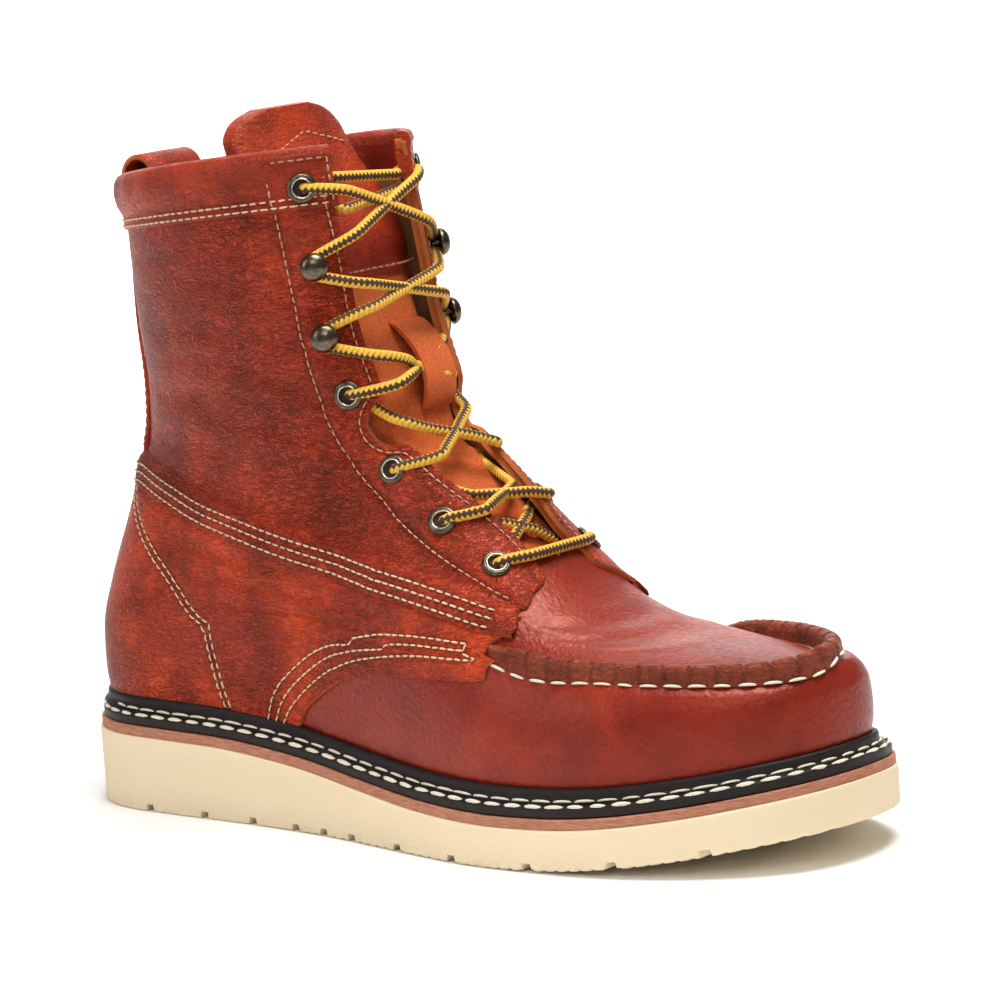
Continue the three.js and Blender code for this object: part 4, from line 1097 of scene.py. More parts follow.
def seam_rows(rows, angles, offsets, lift, thread_rows=cream, pitch=3.3, radius=0.34):
    """Parallel rows of stitches beside a panel line."""
    line = skin(rows, angles)
    for distance in offsets:
        r, a = shifted(rows, angles, distance)
        clear = nearest(skin(r, a), line) > 0.86 * abs(distance)
        if distance and clear.sum() > 10:
            r, a = r[clear], a[clear]
        r, a = softened(r), softened(a)
        thread_rows.on_skin(r, a, lift, pitch=pitch, radius=radius)
        SEAMS.append(skin(r, a))


# Panels
def inside_outline(points, loop):
    x, y = points[:, 0][:, None], points[:, 1][:, None]
    x0, y0 = loop[:, 0][None], loop[:, 1][None]
    x1, y1 = np.roll(loop[:, 0], -1)[None], np.roll(loop[:, 1], -1)[None]
    crosses = (y0 > y) != (y1 > y)
    slope = np.where(crosses, y1 - y0, 1)
    hit = crosses & (x < x0 + (y - y0) * (x1 - x0) / slope)
    return hit.sum(1) % 2 == 1


def nearest(points, targets):
    """The distance from each point to the nearest target."""
    tree = KDTree(len(targets))
    for i, target in enumerate(targets.tolist()):
        tree.insert(target, i)
    tree.balance()
    return np.array([tree.find(point)[2] for point in points.tolist()])


def outline_of(parts, side, spacing=1.0):
    """The rows and angles of a closed outline from panel lines, evenly spaced."""
    rows, angles = [], []
    for places in parts:
        rough = np.asarray(places, float)
        _, _, length = curve_on(rough, side, 10)
        count = max(int(length / spacing), 2)
        r, a, _ = curve_on(rough, side, count + 1)
        rows.append(r[:-1])
        angles.append(a[:-1])
    return np.concatenate(rows), np.concatenate(angles)


ACROSS = 60  # mm for a radian where a panel is laid flat
EDGE_RINGS = (0.45, 1.1)  # mm from a panel's edge to the points that round it
EDGE_DROP = 0.34
BURIED = -0.45  # height of a panel's run out edge, just under the face
PANEL_FOOT = -0.25  # and of the foot of its cut edge
WALL_FROM = 0.6  # a panel has a cut edge where more than this share of its height stays


def laid_flat(rows, angles):
    return np.stack([angles * ACROSS, rows * MM_A_ROW], 1)


def on_face(flat):
    return skin(flat[:, 1] / MM_A_ROW, flat[:, 0] / ACROSS)


def panel_points(rows, angles, spacing):
    """The flat points of a panel: its outline, rings inside it, and even rows over the rest."""
    flat = laid_flat(rows, angles)
    edge = skin(rows, angles)
    tangent = unit(np.roll(edge, -1, 0) - np.roll(edge, 1, 0))
    inward = np.cross(tangent, unit(np.cross(*face_steps(rows, angles))))
    probe = laid_flat(*laid(rows, angles, 0.2 * inward))
    if inside_outline(probe, flat).mean() <= 0.5:
        inward = -inward
    parts = [flat]
    for reach in EDGE_RINGS:
        ring = laid_flat(*laid(rows, angles, inward * reach))
        keep = inside_outline(ring, flat) & (nearest(on_face(ring), edge) > 0.8 * reach)
        parts.append(ring[keep])
    inner = []
    for row in np.arange(rows.min(), rows.max(), spacing / MM_A_ROW):
        middle_step = skin(row, angles.mean() + 0.02) - skin(row, angles.mean() - 0.02)
        step = spacing / max(np.linalg.norm(middle_step) / 0.04, 20)
        line = np.arange(angles.min(), angles.max(), step)
        inner.append(laid_flat(np.full(len(line), row), line))
    inner = np.vstack(inner)
    inner = inner[inside_outline(inner, flat)]
    parts.append(inner[nearest(on_face(inner), edge) > EDGE_RINGS[-1] + 0.45 * spacing])
    return np.vstack(parts), edge


def panel(name, rows, angles, top, materials, spacing, fade_line, fade):
    """A sheet of leather over the skin, inside a closed outline of rows and angles.

    top is its height. fade goes from the distance to a line to the share of the height that stays, so that
    an edge can run out. Its cut edge has the second material."""
    flat = laid_flat(rows, angles)
    turn = np.sum(flat[:, 0] * np.roll(flat[:, 1], -1) - flat[:, 1] * np.roll(flat[:, 0], -1))
    if turn < 0:
        rows, angles = rows[::-1], angles[::-1]
    coords, edge = panel_points(rows, angles, spacing)
    count = len(rows)
    edges = [(i, (i + 1) % count) for i in range(count)]
    made = delaunay_2d_cdt([Vector(p) for p in coords.tolist()], edges, [list(range(count))], 1, 1e-5)
    out = np.array([tuple(p) for p in made[0]])
    faces = [f for f in made[2] if len(f) == 3]
    r, g = out[:, 1] / MM_A_ROW, out[:, 0] / ACROSS
    base = skin(r, g)
    height = top - EDGE_DROP * edge_fall(nearest(base, edge), EDGE_RINGS[-1])
    kept = fade(nearest(base, fade_line))
    height = share(BURIED, height, kept)
    lines = np.vstack(SEAMS)
    low, high = base.min(0) - 3, base.max(0) + 3
    gap = nearest(base, lines[((lines > low) & (lines < high)).all(1)])
    # Painted shade along the rows of stitches, which the leather's material reads as the seam value.
    seam = bell(gap, 0.55)
    points = dressed(r, g, height - 0.30 * bell(gap, 1.1))
    # The cut edge: the border at its top, and again at the skin below it
    order = {k: i for i, sources in enumerate(made[3]) for k in sources if k < count}
    ring = [order[k] for k in range(count) if k in order]
    n = len(points)
    m = len(ring)
    foot = dressed(r[ring], g[ring], np.full(m, PANEL_FOOT))
    wall = []
    for i in range(m):
        j = (i + 1) % m
        if kept[ring[i]] > WALL_FROM and kept[ring[j]] > WALL_FROM:
            wall.append([n + i, n + m + i, n + m + j, n + j])
    a, b, c = (points[k] for k in faces[0])
    if np.cross(b - a, c - a) @ skin_normal(r[faces[0][0]], g[faces[0][0]]) < 0:
        faces = [f[::-1] for f in faces]
    kinds = [0] * len(faces) + [1] * len(wall)
    every = np.vstack([points, points[ring], foot])
    obj = mesh_object(name, every, [list(f) for f in faces] + wall, materials, True, kinds)
    attribute(obj, "seam", np.concatenate([seam, np.zeros(2 * m)]))
    return obj


SIDES = [("outer", -1), ("inner", 1)]


def seam_gap(points):
    """The distance from each point of a grid to the nearest row of stitches."""
    return nearest(points.reshape(-1, 3), np.vstack(SEAMS)[::2]).reshape(points.shape[:-1])


FACING_TIP = 0.972  # share of a section line at which the facing ends at the rim
THROAT_ROW = 13.7  # section line at which the throat opens


def make_upper():
    """The leather shell with its lining, from the welt to the rim."""
    columns, lines, lining_step = 440, 190, 3
    s = np.linspace(-1, 1, columns + 1)
    edge_rows = np.array(FACING_EDGE)[::-1]

    def widest(row):
        edge = angle_of(np.interp(row, edge_rows[:, 0], edge_rows[:, 1]), 1) - 0.02
        return share(math.pi, edge, smooth((row - 13.75) / 0.3))

    top_angle = np.abs(s) * angle_of(FACING_TIP, 1)
    top = row_at(np.maximum(top_angle, 1e-3), collar_z)
    q = np.linspace(0, 1, lines)
    rows = 0.02 + (top[None] - 0.02) * q[:, None]
    angles = s[None] * widest(rows)
    gap = seam_gap(skin(rows, angles))
    # Painted shade along the rows of stitches, which the leather's material reads as the seam value.
    seam = bell(gap, 1.2)
    outer = dressed(rows, angles, np.zeros(rows.shape))
    outer = outer - skin_normal(rows, angles) * (0.25 * bell(gap, 1.4))[..., None]
    inner_rows = rows[::lining_step, ::lining_step]
    inner_angles = angles[::lining_step, ::lining_step]
    inner = skin(inner_rows, inner_angles) - WALL * skin_normal(inner_rows, inner_angles)
    first = int(np.argmax(rows[:, 0] > THROAT_ROW))
    outer[:first, 0] = outer[:first, -1] = (outer[:first, 0] + outer[:first, -1]) / 2
    shell = Pieces()
    shell.add(outer, grid_faces(lines, columns + 1))
    shell.add(inner, grid_faces(*inner_rows.shape)[:, ::-1], 1)
    # Rim and throat edges between the outer and the inner face
    rim_outer = np.vstack([outer[first:, 0], outer[-1], outer[first:, -1][::-1]])
    rim_normal = skin_normal(
        np.concatenate([rows[first:, 0], rows[-1], rows[first:, -1][::-1]]),
        np.concatenate([angles[first:, 0], angles[-1], angles[first:, -1][::-1]]),
    )
    rim_inner = rim_outer - rim_normal * (WALL + 0.05)
    shell.walls([(rim_outer, rim_inner)], 2, flip=True)
    obj = shell.make("upper_leather", [VAMP_LEATHER, LINING, CUT])
    attribute(obj, "seam", np.concatenate([seam.ravel(), np.zeros(shell.count - seam.size)]))
    kinds = np.zeros(len(obj.data.polygons), np.int32)
    obj.data.polygons.foreach_get("material_index", kinds)
    # The shaft above the diagonal seam is the wrinkled leather, the vamp in front is the smooth one.
    centre_rows = (rows[:-1, :-1] + rows[1:, 1:]) / 2
    centre_share = share_of((angles[:-1, :-1] + angles[1:, 1:]) / 2)
    line = np.array(QUARTER_TOP)
    diagonal = np.interp(centre_share, line[:, 1], line[:, 0])
    shaft = (centre_rows > diagonal - 0.3) & (centre_share < 0.93)
    kinds[: shaft.size] = np.where(shaft.ravel(), 3, 0)
    obj.data.materials.append(SHAFT_LEATHER)
    obj.data.polygons.foreach_set("material_index", kinds)
    weld(obj)
    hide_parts("upper")


def make_quarters():
    for name, side in SIDES:
        rows, angles = outline_of([
            QUARTER_TOP,
            [QUARTER_TOP[-1], *QUARTER_FRONT, WING[0]],
            WING,
            [WING[-1], COUNTER[-1]],
            [*COUNTER[::-1], QUARTER_TOP[0]],
        ], side)
        diagonal = skin(*curve_on(QUARTER_TOP, side, 300)[:2])
        obj = panel(
            "quarter_panel_" + name, rows, angles, FACING_TOP, [QUARTER_LEATHER, CUT], 1.3,
            diagonal, lambda gap: share(0.1, 1.0, smooth((gap - 3.5) / 6.0)),
        )
        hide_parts("quarter_" + name)


TAB_BACK = 0.828  # share at which the facing's tab over the band begins
MARGIN_ROWS = [0.0, 3.0, 6.2]  # rows of stitches below the diagonal seam's line, in mm
MARGIN_ABOVE = 6.0  # and the margin strip's edges above and below it
MARGIN_BELOW = 8.2
MARGIN_TOP = 2.05


def make_shaft_margins():
    """The shaft's lower edge, which laps over the quarter along the diagonal seam."""
    for name, side in SIDES:
        line = [[15.35, 0.006], *QUARTER_TOP, [11.98, 0.918], [11.9, 0.93]]
        rows, angles, _ = curve_on(line, side, 260)
        upper = shifted(rows, angles, -MARGIN_ABOVE * side)
        lower = shifted(rows, angles, MARGIN_BELOW * side)
        loop_rows = np.concatenate([upper[0], lower[0][::-1]])
        loop_angles = np.concatenate([upper[1], lower[1][::-1]])
        obj = panel(
            "shaft_margin_" + name, loop_rows, loop_angles, MARGIN_TOP, [SHAFT_LEATHER, CUT], 1.25,
            skin(*upper), lambda gap: smooth(gap / 6.0),
        )


def make_facings():
    for name, side in SIDES:
        tops = row_at(angle_of(np.array([TAB_BACK, FACING_TIP]), side), lambda x: collar_z(x) - 0.8)
        back_top, front_top = (float(row) for row in tops)
        front = [p for p in FACING_EDGE[::-1] if p[0] < front_top - 0.1] + [[front_top, FACING_TIP]]
        back = [[back_top, TAB_BACK]] + [p for p in FACING_BACK if p[0] < back_top - 0.1]
        rows, angles = outline_of([
            front,
            [front[-1], back[0]],
            back,
            [back[-1], [12.2, 0.945], *FACING_TOE[::-1], front[0]],
        ], side)
        behind = skin(*curve_on(FACING_BACK[1:], side, 300)[:2])
        obj = panel(
            "facing_panel_" + name, rows, angles, FACING_TOP, [SHAFT_LEATHER, CUT], 1.1,
            behind, lambda gap: smooth((gap + 0.6) / 5.0),
        )
        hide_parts("facing_" + name)


def make_counter():
    """The heel counter, one piece round the back."""
    line = np.array(COUNTER)
    fine_rows = np.linspace(0.02, COUNTER[0][0], 180)
    order = np.argsort(line[:, 0])
    front_share = softened(np.interp(fine_rows, line[order, 0], line[order, 1]), 16) + 0.016
    front_share = np.minimum(front_share, 0.02 + (COUNTER[0][0] - fine_rows) * 0.2)
    across = 160
    s = np.linspace(-1, 1, across)
    angles = s[None] * angle_of(front_share, 1)[:, None]
    rows = np.broadcast_to(fine_rows[:, None], angles.shape)
    base = skin(rows, angles)
    border = np.vstack([base[:, 0], base[:, -1], base[-1]])
    off = nearest(base.reshape(-1, 3), border).reshape(rows.shape)
    gap = seam_gap(base)
    # Painted shade along the rows of stitches, which the leather's material reads as the seam value.
    seam = bell(gap, 0.9)
    height = COUNTER_TOP - 0.3 * edge_fall(off, 1.3) - 0.3 * bell(gap, 1.2)
    top = dressed(rows, angles, height)
    low = dressed(rows, angles, np.full(rows.shape, -0.2))
    piece = Pieces()
    piece.add(top, grid_faces(len(fine_rows), across))
    piece.walls([(top[:, 0], low[:, 0]), (low[:, -1], top[:, -1]), (low[-1], top[-1])], 1)
    obj = piece.make("counter_panel", [QUARTER_LEATHER, CUT])
    attribute(obj, "seam", np.concatenate([seam.ravel(), np.zeros(piece.count - seam.size)]))
    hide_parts("heel_counter")


BACKSTAY_ROWS = (0.6, 22.4)
BACKSTAY_SEAM = 2.2  # mm from the strip's edge to its stitches


def make_backstay():
    """The strip over the back seam, with a row of stitches along each side."""
    rows = np.linspace(*BACKSTAY_ROWS, 170)
    half = BACKSTAY_WIDTH / 2
    across = np.linspace(-1, 1, 34)
    angles = np.zeros((len(rows), len(across)))
    for i, row in enumerate(rows):
        test = np.linspace(0.001, 1.2, 300)
        wide = np.abs(skin(row, test)[:, 1] - SHAFT_SHIFT)
        angles[i] = np.sign(across) * np.interp(np.abs(across) * half, wide, test)
    grid_rows = np.broadcast_to(rows[:, None], angles.shape)
    base = skin(grid_rows, angles)
    border = np.vstack([base[:, 0], base[:, -1]])
    off = nearest(base.reshape(-1, 3), border).reshape(grid_rows.shape)
    height = FACING_TOP - 0.95 * edge_fall(off, 1.6)
    height = height - 0.25 * bell(off - BACKSTAY_SEAM, 0.7)
    height = height + COUNTER_TOP * smooth((COUNTER[0][0] + 0.4 - grid_rows) / 0.5)
    top = dressed(grid_rows, angles, height)
    under = dressed(grid_rows, angles, np.full(grid_rows.shape, -0.2))
    piece = Pieces()
    piece.add(top, grid_faces(len(rows), len(across)))
    part = int(np.argmax(rows > COUNTER[0][0] + 0.6))
    for a, b in ((top[:, 0], under[:, 0]), (under[:, -1], top[:, -1])):
        piece.walls([(a[:part + 1], b[:part + 1])], 1)
        piece.walls([(a[part:], b[part:])])
    obj = piece.make("backstay_strip", [QUARTER_LEATHER, CUT])
    # Painted shade along the rows of stitches beside the strip's edges, read by the material as the seam
    # value.
    seam = bell(off - BACKSTAY_SEAM, 0.6)
    attribute(obj, "seam", np.concatenate([seam.ravel(), np.zeros(piece.count - seam.size)]))
    over = rows > COUNTER[0][0] + 0.5
    for column in (0, -1):
        line = angles[over, column] * (1 - BACKSTAY_SEAM / half)
        fine.on_skin(rows[over], line, FACING_TOP - 0.1, pitch=3.0, radius=0.27)
    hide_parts("backstay")


# Section of the padded collar band: distance out from the face and height over the rim, both in mm
BAND_LINE = [
    (0.2, -17.6), (0.9, -17.6), (1.15, -17.0), (1.1, -15.2), (1.0, -12.6), (1.7, -11.0), (2.7, -8.6),
    (3.2, -5.6), (3.2, -2.8), (2.6, -0.2), (1.5, 1.6), (-0.3, 2.5), (-2.2, 2.2), (-3.6, 0.8), (-4.3, -2.0),
    (-4.1, -6.0), (-3.4, -10.0), (-2.6, -13.0),
]
BAND_FRONT = 0.966  # share of a section line at which the band ends at the throat


TAB_STEP = 0.012  # over which share of a section line the band rises on to the tab
BAND_SEAMS = (-16.2, -13.9)  # heights of its rows of stitches from the rim, in mm
# The row of stitches round the tab: up its back, along the rim and down its front, as shares and heights
TAB_SEAM_SHARES = np.concatenate([np.full(30, 0.834), np.linspace(0.836, 0.958, 50), np.full(14, 0.96)])
TAB_SEAM_HEIGHTS = np.concatenate([np.linspace(-16, -1.6, 30), np.full(50, -1.4), np.linspace(-1.6, -16, 14)])


def make_band():
    """The padded band: its section follows the rim, with soft pillows, and lies flat on the tab."""
    section = resample(BAND_LINE, 46)
    steps = 380
    front = angle_of(BAND_FRONT, 1)
    angles = np.linspace(-front, front, steps)
    angles = np.where(np.abs(angles) < 1e-3, 1e-3, angles)
    points = np.zeros((len(section), steps, 3))
    pillow = 1 + 0.05 * np.sin(angles * 9 + 0.6) + 0.04 * np.sin(angles * 23)
    at = share_of(angles)
    tab = smooth((at - TAB_BACK) / TAB_STEP)
    calm = smooth((at - TAB_BACK + 0.02) / 0.06)
    for k, (out, up) in enumerate(section):
        rows = row_at(angles, lambda x, up=up: collar_z(x) + min(up, 0.0))
        base = skin(rows, angles)
        normal = skin_normal(rows, angles)
        normal[:, 2] = 0
        normal = unit(normal)
        puff = pillow if out > 1.4 and up > -12 else 1.0
        flat = np.minimum(out, 1.25) if up < -1 else out * 0.6 + 0.3
        away = share(out * puff, np.where(out > 0, flat, out * 0.75), calm)
        away = away + 0.75 * tab * (out > 0.5)
        points[k] = base + normal * np.reshape(away, (-1, 1)) + [0, 0, max(up, 0.0)]
    piece = Pieces()
    piece.add(points, grid_faces(len(section), steps))
    for column in (0, -1):
        piece.cap(points[:, column])
    obj = piece.make("collar_roll", [BAND_LEATHER])
    attribute(obj, "seam", np.zeros(piece.count))
    for height in BAND_SEAMS:
        part = angles[np.abs(angles) < angle_of(BAND_FRONT - 0.01, 1)]
        rows = row_at(part, lambda x, height=height: collar_z(x) + height)
        normal = skin_normal(rows, part)
        over = smooth((share_of(part) - TAB_BACK) / TAB_STEP)
        line = skin(rows, part) + normal * (1.12 + 0.75 * over)[:, None]
        cream.row(line, normal, pitch=3.4)
    for _, side in SIDES:
        around = angle_of(TAB_SEAM_SHARES, side)
        rows = row_at(around, lambda x: collar_z(x) + TAB_SEAM_HEIGHTS)
        normal = skin_normal(rows, around)
        fine.row(skin(rows, around) + normal * 2.0, normal, pitch=3.0)
    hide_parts("collar_band")


def top_of_vamp(x, y):
    low = welt_z(x) + 1.5 * WIDEST_UP * TOE_HEIGHT
    high = np.full(np.shape(x), float(INSTEP_HEIGHT))
    off = (y - middle(x, TOE_HEIGHT)) ** 2
    for _ in range(36):
        z = (low + high) / 2
        inside = width_squared(x, z) > off
        low, high = np.where(inside, z, low), np.where(inside, high, z)
    return low


PUCKER = 8.0  # mm between the gathers of the moc seam
RIDGE_SHOWN = 4.3  # mm of the ridge over the vamp, and the half of its plan's width
RIDGE_SHOWN_HALF = 42.0
RIDGE_RUN_OUT = 15.0
# Its section: share of the thickness outwards, share of the height, and whether the gathers move it
RIDGE_SECTION = [
    (0.62, -0.25, 0), (0.60, 0.25, 1), (0.56, 0.6, 1), (0.46, 0.82, 1), (0.28, 0.95, 1), (0.05, 1.0, 1),
    (-0.18, 0.97, 1), (-0.36, 0.86, 1), (-0.48, 0.68, 1), (-0.54, 0.45, 1), (-0.6, 0.1, 0),
    (-0.75, -0.2, 0),
]


def make_ridge():
    """The moc seam: a raised, gathered ridge with bold stitches at its outer foot."""
    count = 900
    a = np.linspace(0.03, np.pi - 0.03, 4 * count)
    x = RIDGE_CENTRE[0] + RIDGE_REACH * np.sin(a)
    y = RIDGE_CENTRE[1] - RIDGE_SHOWN_HALF * np.cos(a)
    even = resample(np.stack([x, y], 1), count)
    x, y = even[:, 0], even[:, 1]
    z = top_of_vamp(x, y)
    line = np.stack([x, y, z], 1)
    tangent = unit(np.gradient(line, axis=0))
    out = unit(np.cross(tangent, [0, 0, 1.0]))
    along = distances(line)
    wobble = 0.5 * np.sin(along / 23)
    phase = ((along + wobble) / PUCKER + 0.5) % 1 - 0.5
    notch = bell(phase * PUCKER, 0.75)
    swell = np.cos(phase * np.pi)
    fine_section = resample(RIDGE_SECTION, 30)
    ends = smooth(along / RIDGE_RUN_OUT) * smooth((along[-1] - along) / RIDGE_RUN_OUT)
    points = np.zeros((len(fine_section), count, 3))
    seam = np.zeros((len(fine_section), count))
    for k, (across, high, moves) in enumerate(fine_section):
        wide = across * RIDGE_THICK * (1 + 0.07 * swell - 0.16 * notch * moves)
        points[k] = line + out * wide[:, None]
        foot = top_of_vamp(points[k, :, 0], points[k, :, 1])
        crest = z + RIDGE_SHOWN * high * (1 + 0.05 * swell - 0.24 * notch * moves) * share(0.12, 1, ends)
        base = foot - (0.4 if across > 0 else 3.4)
        lifted = share(base, crest, min(max(high, 0) / 0.3, 1))
        points[k, :, 2] = np.maximum(lifted, base)
        # Painted shade in the notches between the gathers, read by the material as the seam value.
        seam[k] = 0.95 * notch * (0.3 + 0.7 * moves) * (across > -0.5)
    piece = Pieces()
    piece.add(points, grid_faces(len(fine_section), count)[:, ::-1])
    for column in (0, -1):
        piece.cap(points[:, column])
    obj = piece.make("moc_ridge", [RIDGE_LEATHER])
    attribute(obj, "seam", np.concatenate([seam.ravel(), np.zeros(2 * len(fine_section))]))
    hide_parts("moc_seam")
    foot_line = line + out * (0.70 * RIDGE_THICK)
    foot_line[:, 2] = top_of_vamp(foot_line[:, 0], foot_line[:, 1]) + 0.5
    normal = unit(out * 0.75 + [0, 0, 0.66])
    bold = Stitches()
    bold.row(foot_line, normal, pitch=PUCKER, fill=0.76, radius=0.5, lift=0.1)
    threads = bold.make("moc_stitches", WHITE_THREAD)


# Sole
def slab(inset, low, high, stations, edge=0.6, across=16):
    """Rings across the boot of a layer of the sole, from the heel to the toe."""
    rings = []
    for x in stations:
        half = float(plan_half(x, inset))
        centre = float(sole_centre(x))
        z0, z1 = float(low(x)), float(high(x))
        r = min(edge, half, (z1 - z0) / 2)
        ring = [(y * (half - r), z0) for y in np.linspace(-1, 1, across)]
        ring += [(half - 0.3 * r, z0 + 0.3 * r)]
        ring += [(half, z) for z in np.linspace(z0 + r, z1 - r, 8)]
        ring += [(half - 0.3 * r, z1 - 0.3 * r)]
        ring += [(y * (half - r), z1) for y in np.linspace(1, -1, across)]
        ring += [(-half + 0.3 * r, z1 - 0.3 * r)]
        ring += [(-half, z) for z in np.linspace(z1 - r, z0 + r, 8)]
        ring += [(-half + 0.3 * r, z0 + 0.3 * r)]
        rings.append([(x, centre + y, z) for y, z in ring])
    return np.array(rings)


def sole_stations(inset, count=260):
    t = np.linspace(0, np.pi, count)
    return inset + (LENGTH - 2 * inset) * (1 - np.cos(t)) / 2


def lofted(name, rings, material):
    """A piece from rings that are closed each."""
    piece = Pieces()
    piece.add(rings, grid_faces(rings.shape[0], rings.shape[1], closed=True))
    return piece.make(name, [material])


TREAD_RIB = 4.4  # mm between the fine ribs of the tread, and their depth
TREAD_RIB_DEPTH = 0.42
RIBS_FROM = 0.35  # share of the length at which they begin
GROOVE_SLOPE = 0.55
SEAT = 0.02  # mm between a layer of the sole and the one under it


def make_sole():
    half = GROOVE_WIDTH / 2
    xs = set(sole_stations(0, 420)) | set(np.arange(RIBS_FROM * LENGTH, LENGTH - 6, TREAD_RIB / 6))
    for along in GROOVES:
        x = along * LENGTH
        xs |= {x - half - GROOVE_SLOPE, x - half, x, x + half, x + half + GROOVE_SLOPE}

    def notch(x):
        depth = 0.0
        for along in GROOVES:
            off = abs(x - along * LENGTH) - half
            depth = max(depth, GROOVE_DEPTH * float(np.clip(1 - off / GROOVE_SLOPE, 0, 1)))
        return depth

    def low(x):
        rib = TREAD_RIB_DEPTH * max(math.sin(2 * math.pi * x / TREAD_RIB), 0.0)
        ribbed = x > RIBS_FROM * LENGTH and notch(x) == 0
        return tread_z(x) + notch(x) + rib * ribbed

    obj = lofted("wedge_sole", slab(0, low, wedge_z, sorted(xs), edge=0.9), RUBBER)
    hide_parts("outsole")

    stations = sole_stations(MIDSOLE_INSET)
    rings = slab(MIDSOLE_INSET, lambda x: wedge_z(x) + SEAT, midsole_z, stations, edge=0.35)
    obj = lofted("midsole_slab", rings, MIDSOLE_LEATHER)
    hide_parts("midsole")


# Section of the welt's storm lip: height over the welt and distance out from the upper, in mm
LIP = [
    (-1.2, 0.2), (-0.6, 4.9), (0.1, 4.9), (0.9, 4.35), (2.0, 3.15), (2.45, 2.75), (3.2, 2.6), (4.2, 2.3),
    (4.9, 1.7), (5.0, 0.9), (4.7, 0.1),
]
# Rows of stitches on it: way in from the sole's edge, rise over the welt, thread's radius and start, in mm
WELT_ROWS = [(2.15, 0.0, 0.64, 0.0), (4.4, 1.35, 0.45, 4.0)]


def make_welt():
    """The welt strip with its storm lip, and the two rows of stitches on it."""
    piece = Pieces()
    rings = slab(WELT_INSET, lambda x: midsole_z(x) + SEAT, welt_z, sole_stations(WELT_INSET), edge=0.8)
    piece.add(rings, grid_faces(rings.shape[0], rings.shape[1], closed=True))
    angles = np.linspace(-np.pi, np.pi, 721)[:-1]
    angles = np.where(np.abs(angles) < 1e-3, 1e-3, angles)
    lip = resample(LIP, 30)
    ring = np.zeros((len(lip), len(angles), 3))
    for k, (height, out) in enumerate(lip):
        rows = row_at(angles, lambda x, height=height: welt_z(x) + height)
        normal = skin_normal(np.maximum(rows, 0.3), angles)
        normal[:, 2] *= 0.3
        ring[k] = skin(rows, angles) + unit(normal) * out
    piece.add(ring, grid_faces(len(lip), len(angles), closed=True))
    obj = piece.make("welt_strip", [WELT_RUBBER])
    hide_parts("welt")
    bold = Stitches()
    for inset, rise, radius, start in WELT_ROWS:
        loop = outline(inset, 1200)
        line = np.column_stack([loop, welt_z(loop[:, 0]) + rise])
        line = np.vstack([line, line[:1]])
        tangent = unit(np.gradient(line, axis=0))
        away = unit(np.cross(tangent, [0, 0, 1.0]))
        if (away[0] @ (line[0] - [LENGTH / 2, 0, 0])) < 0:
            away = -away
        normal = unit(away * 0.75 + [0, 0, 0.66])
        bold.row(line, normal, pitch=8.0, fill=0.86, radius=radius, lift=0.1, start=start)
    obj = bold.make("welt_stitches", WHITE_THREAD)


def make_insole():
    """The insole, which closes the upper underneath and is slightly crowned."""
    ys = np.linspace(-1, 1, 25)
    rings = []
    for x in np.linspace(14, LENGTH - 16, 120):
        z = float(welt_z(x)) + 3.3
        half = max(math.sqrt(max(float(width_squared(x, z)), 1.0)) - WALL - 0.5, 0.5)
        centre = float(middle(x, z))
        top = [(x, centre + y * half, z + 0.5 * (1 - y * y)) for y in ys]
        low = [(x, centre + y * half, z - 2.9) for y in ys[::-1]]
        rings.append(top + low)
    obj = lofted("insole_sheet", np.array(rings), LINING)
    attribute(obj, "seam", np.zeros(len(obj.data.vertices)))
    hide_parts("insole")


# Tongue
TONGUE_FLATTER = 0.72  # how much flatter than the throat the tongue's upper end lies
TONGUE_SETTLE = 9.0  # mm that its tip has settled


def tongue_point(row, y, deep):
    """A point of the tongue, this deep behind its front face, at a distance from the middle."""
    row, y, deep = np.broadcast_arrays(*(np.asarray(v, float) for v in (row, y, deep)))
    lean = TONGUE_LEAN * TONGUE_BACK(row)
    above = np.maximum(row - TOP_ROW, 0) * TONGUE_TIP
    row_in = np.minimum(row, TOP_ROW)
    inset = WALL + TONGUE_CLEAR + deep
    wide = np.maximum(np.abs(y), THROAT_FLAT) + TONGUE_WIDEN * inset
    flatter = 1 - TONGUE_FLATTER * smooth((row - 18) / 5)
    wide = THROAT_FLAT + (wide - THROAT_FLAT) * flatter
    t = share_at_half(row_in, wide)
    x, z = side_point(row_in, t)
    z = z - TONGUE_SETTLE * smooth((row - 19) / 7)
    fx, fz = side_point(row_in, np.ones_like(row_in))
    side = np.where(y < 0, -1, 1)
    normal = skin_normal(row_in, angle_of(t, 1) * side)
    flat = np.stack([normal[..., 0], normal[..., 2]], -1)
    size = np.maximum(np.linalg.norm(flat, axis=-1), 0.5)
    flat = unit(flat)
    far = inset / size
    return np.stack([x - flat[..., 0] * far - lean, middle(fx, fz) + y, z - flat[..., 1] * far + above], -1)


def tongue_sheet(name, first, last, front, back, material, lines=150, across=70, grow=0.0, puff=0.0):
    """A sheet of the tongue between two rows, from a front depth to a back depth."""
    rows = np.linspace(first, last, lines)
    s = np.linspace(-1, 1, across)
    half = (TONGUE_HALF * TONGUE_WIDE(rows) + grow) * (1 - 0.13 * smooth((rows - 22) / 2.5))
    y = half[:, None] * s[None]
    grid = np.broadcast_to(rows[:, None], y.shape)
    t = np.linspace(0, 1, lines)[:, None]
    bulge = puff * np.sqrt(np.clip(1 - s[None] ** 4, 0, 1)) * smooth(t * 6)
    rim = 0.5 * (np.abs(s[None]) ** 14)
    top = tongue_point(grid, y, front - bulge + rim)
    low = tongue_point(grid, y, np.full(y.shape, back) - rim)
    piece = Pieces()
    piece.sheet(top, low)
    obj = piece.make(name, [material])
    attribute(obj, "seam", np.zeros(piece.count))
    return obj


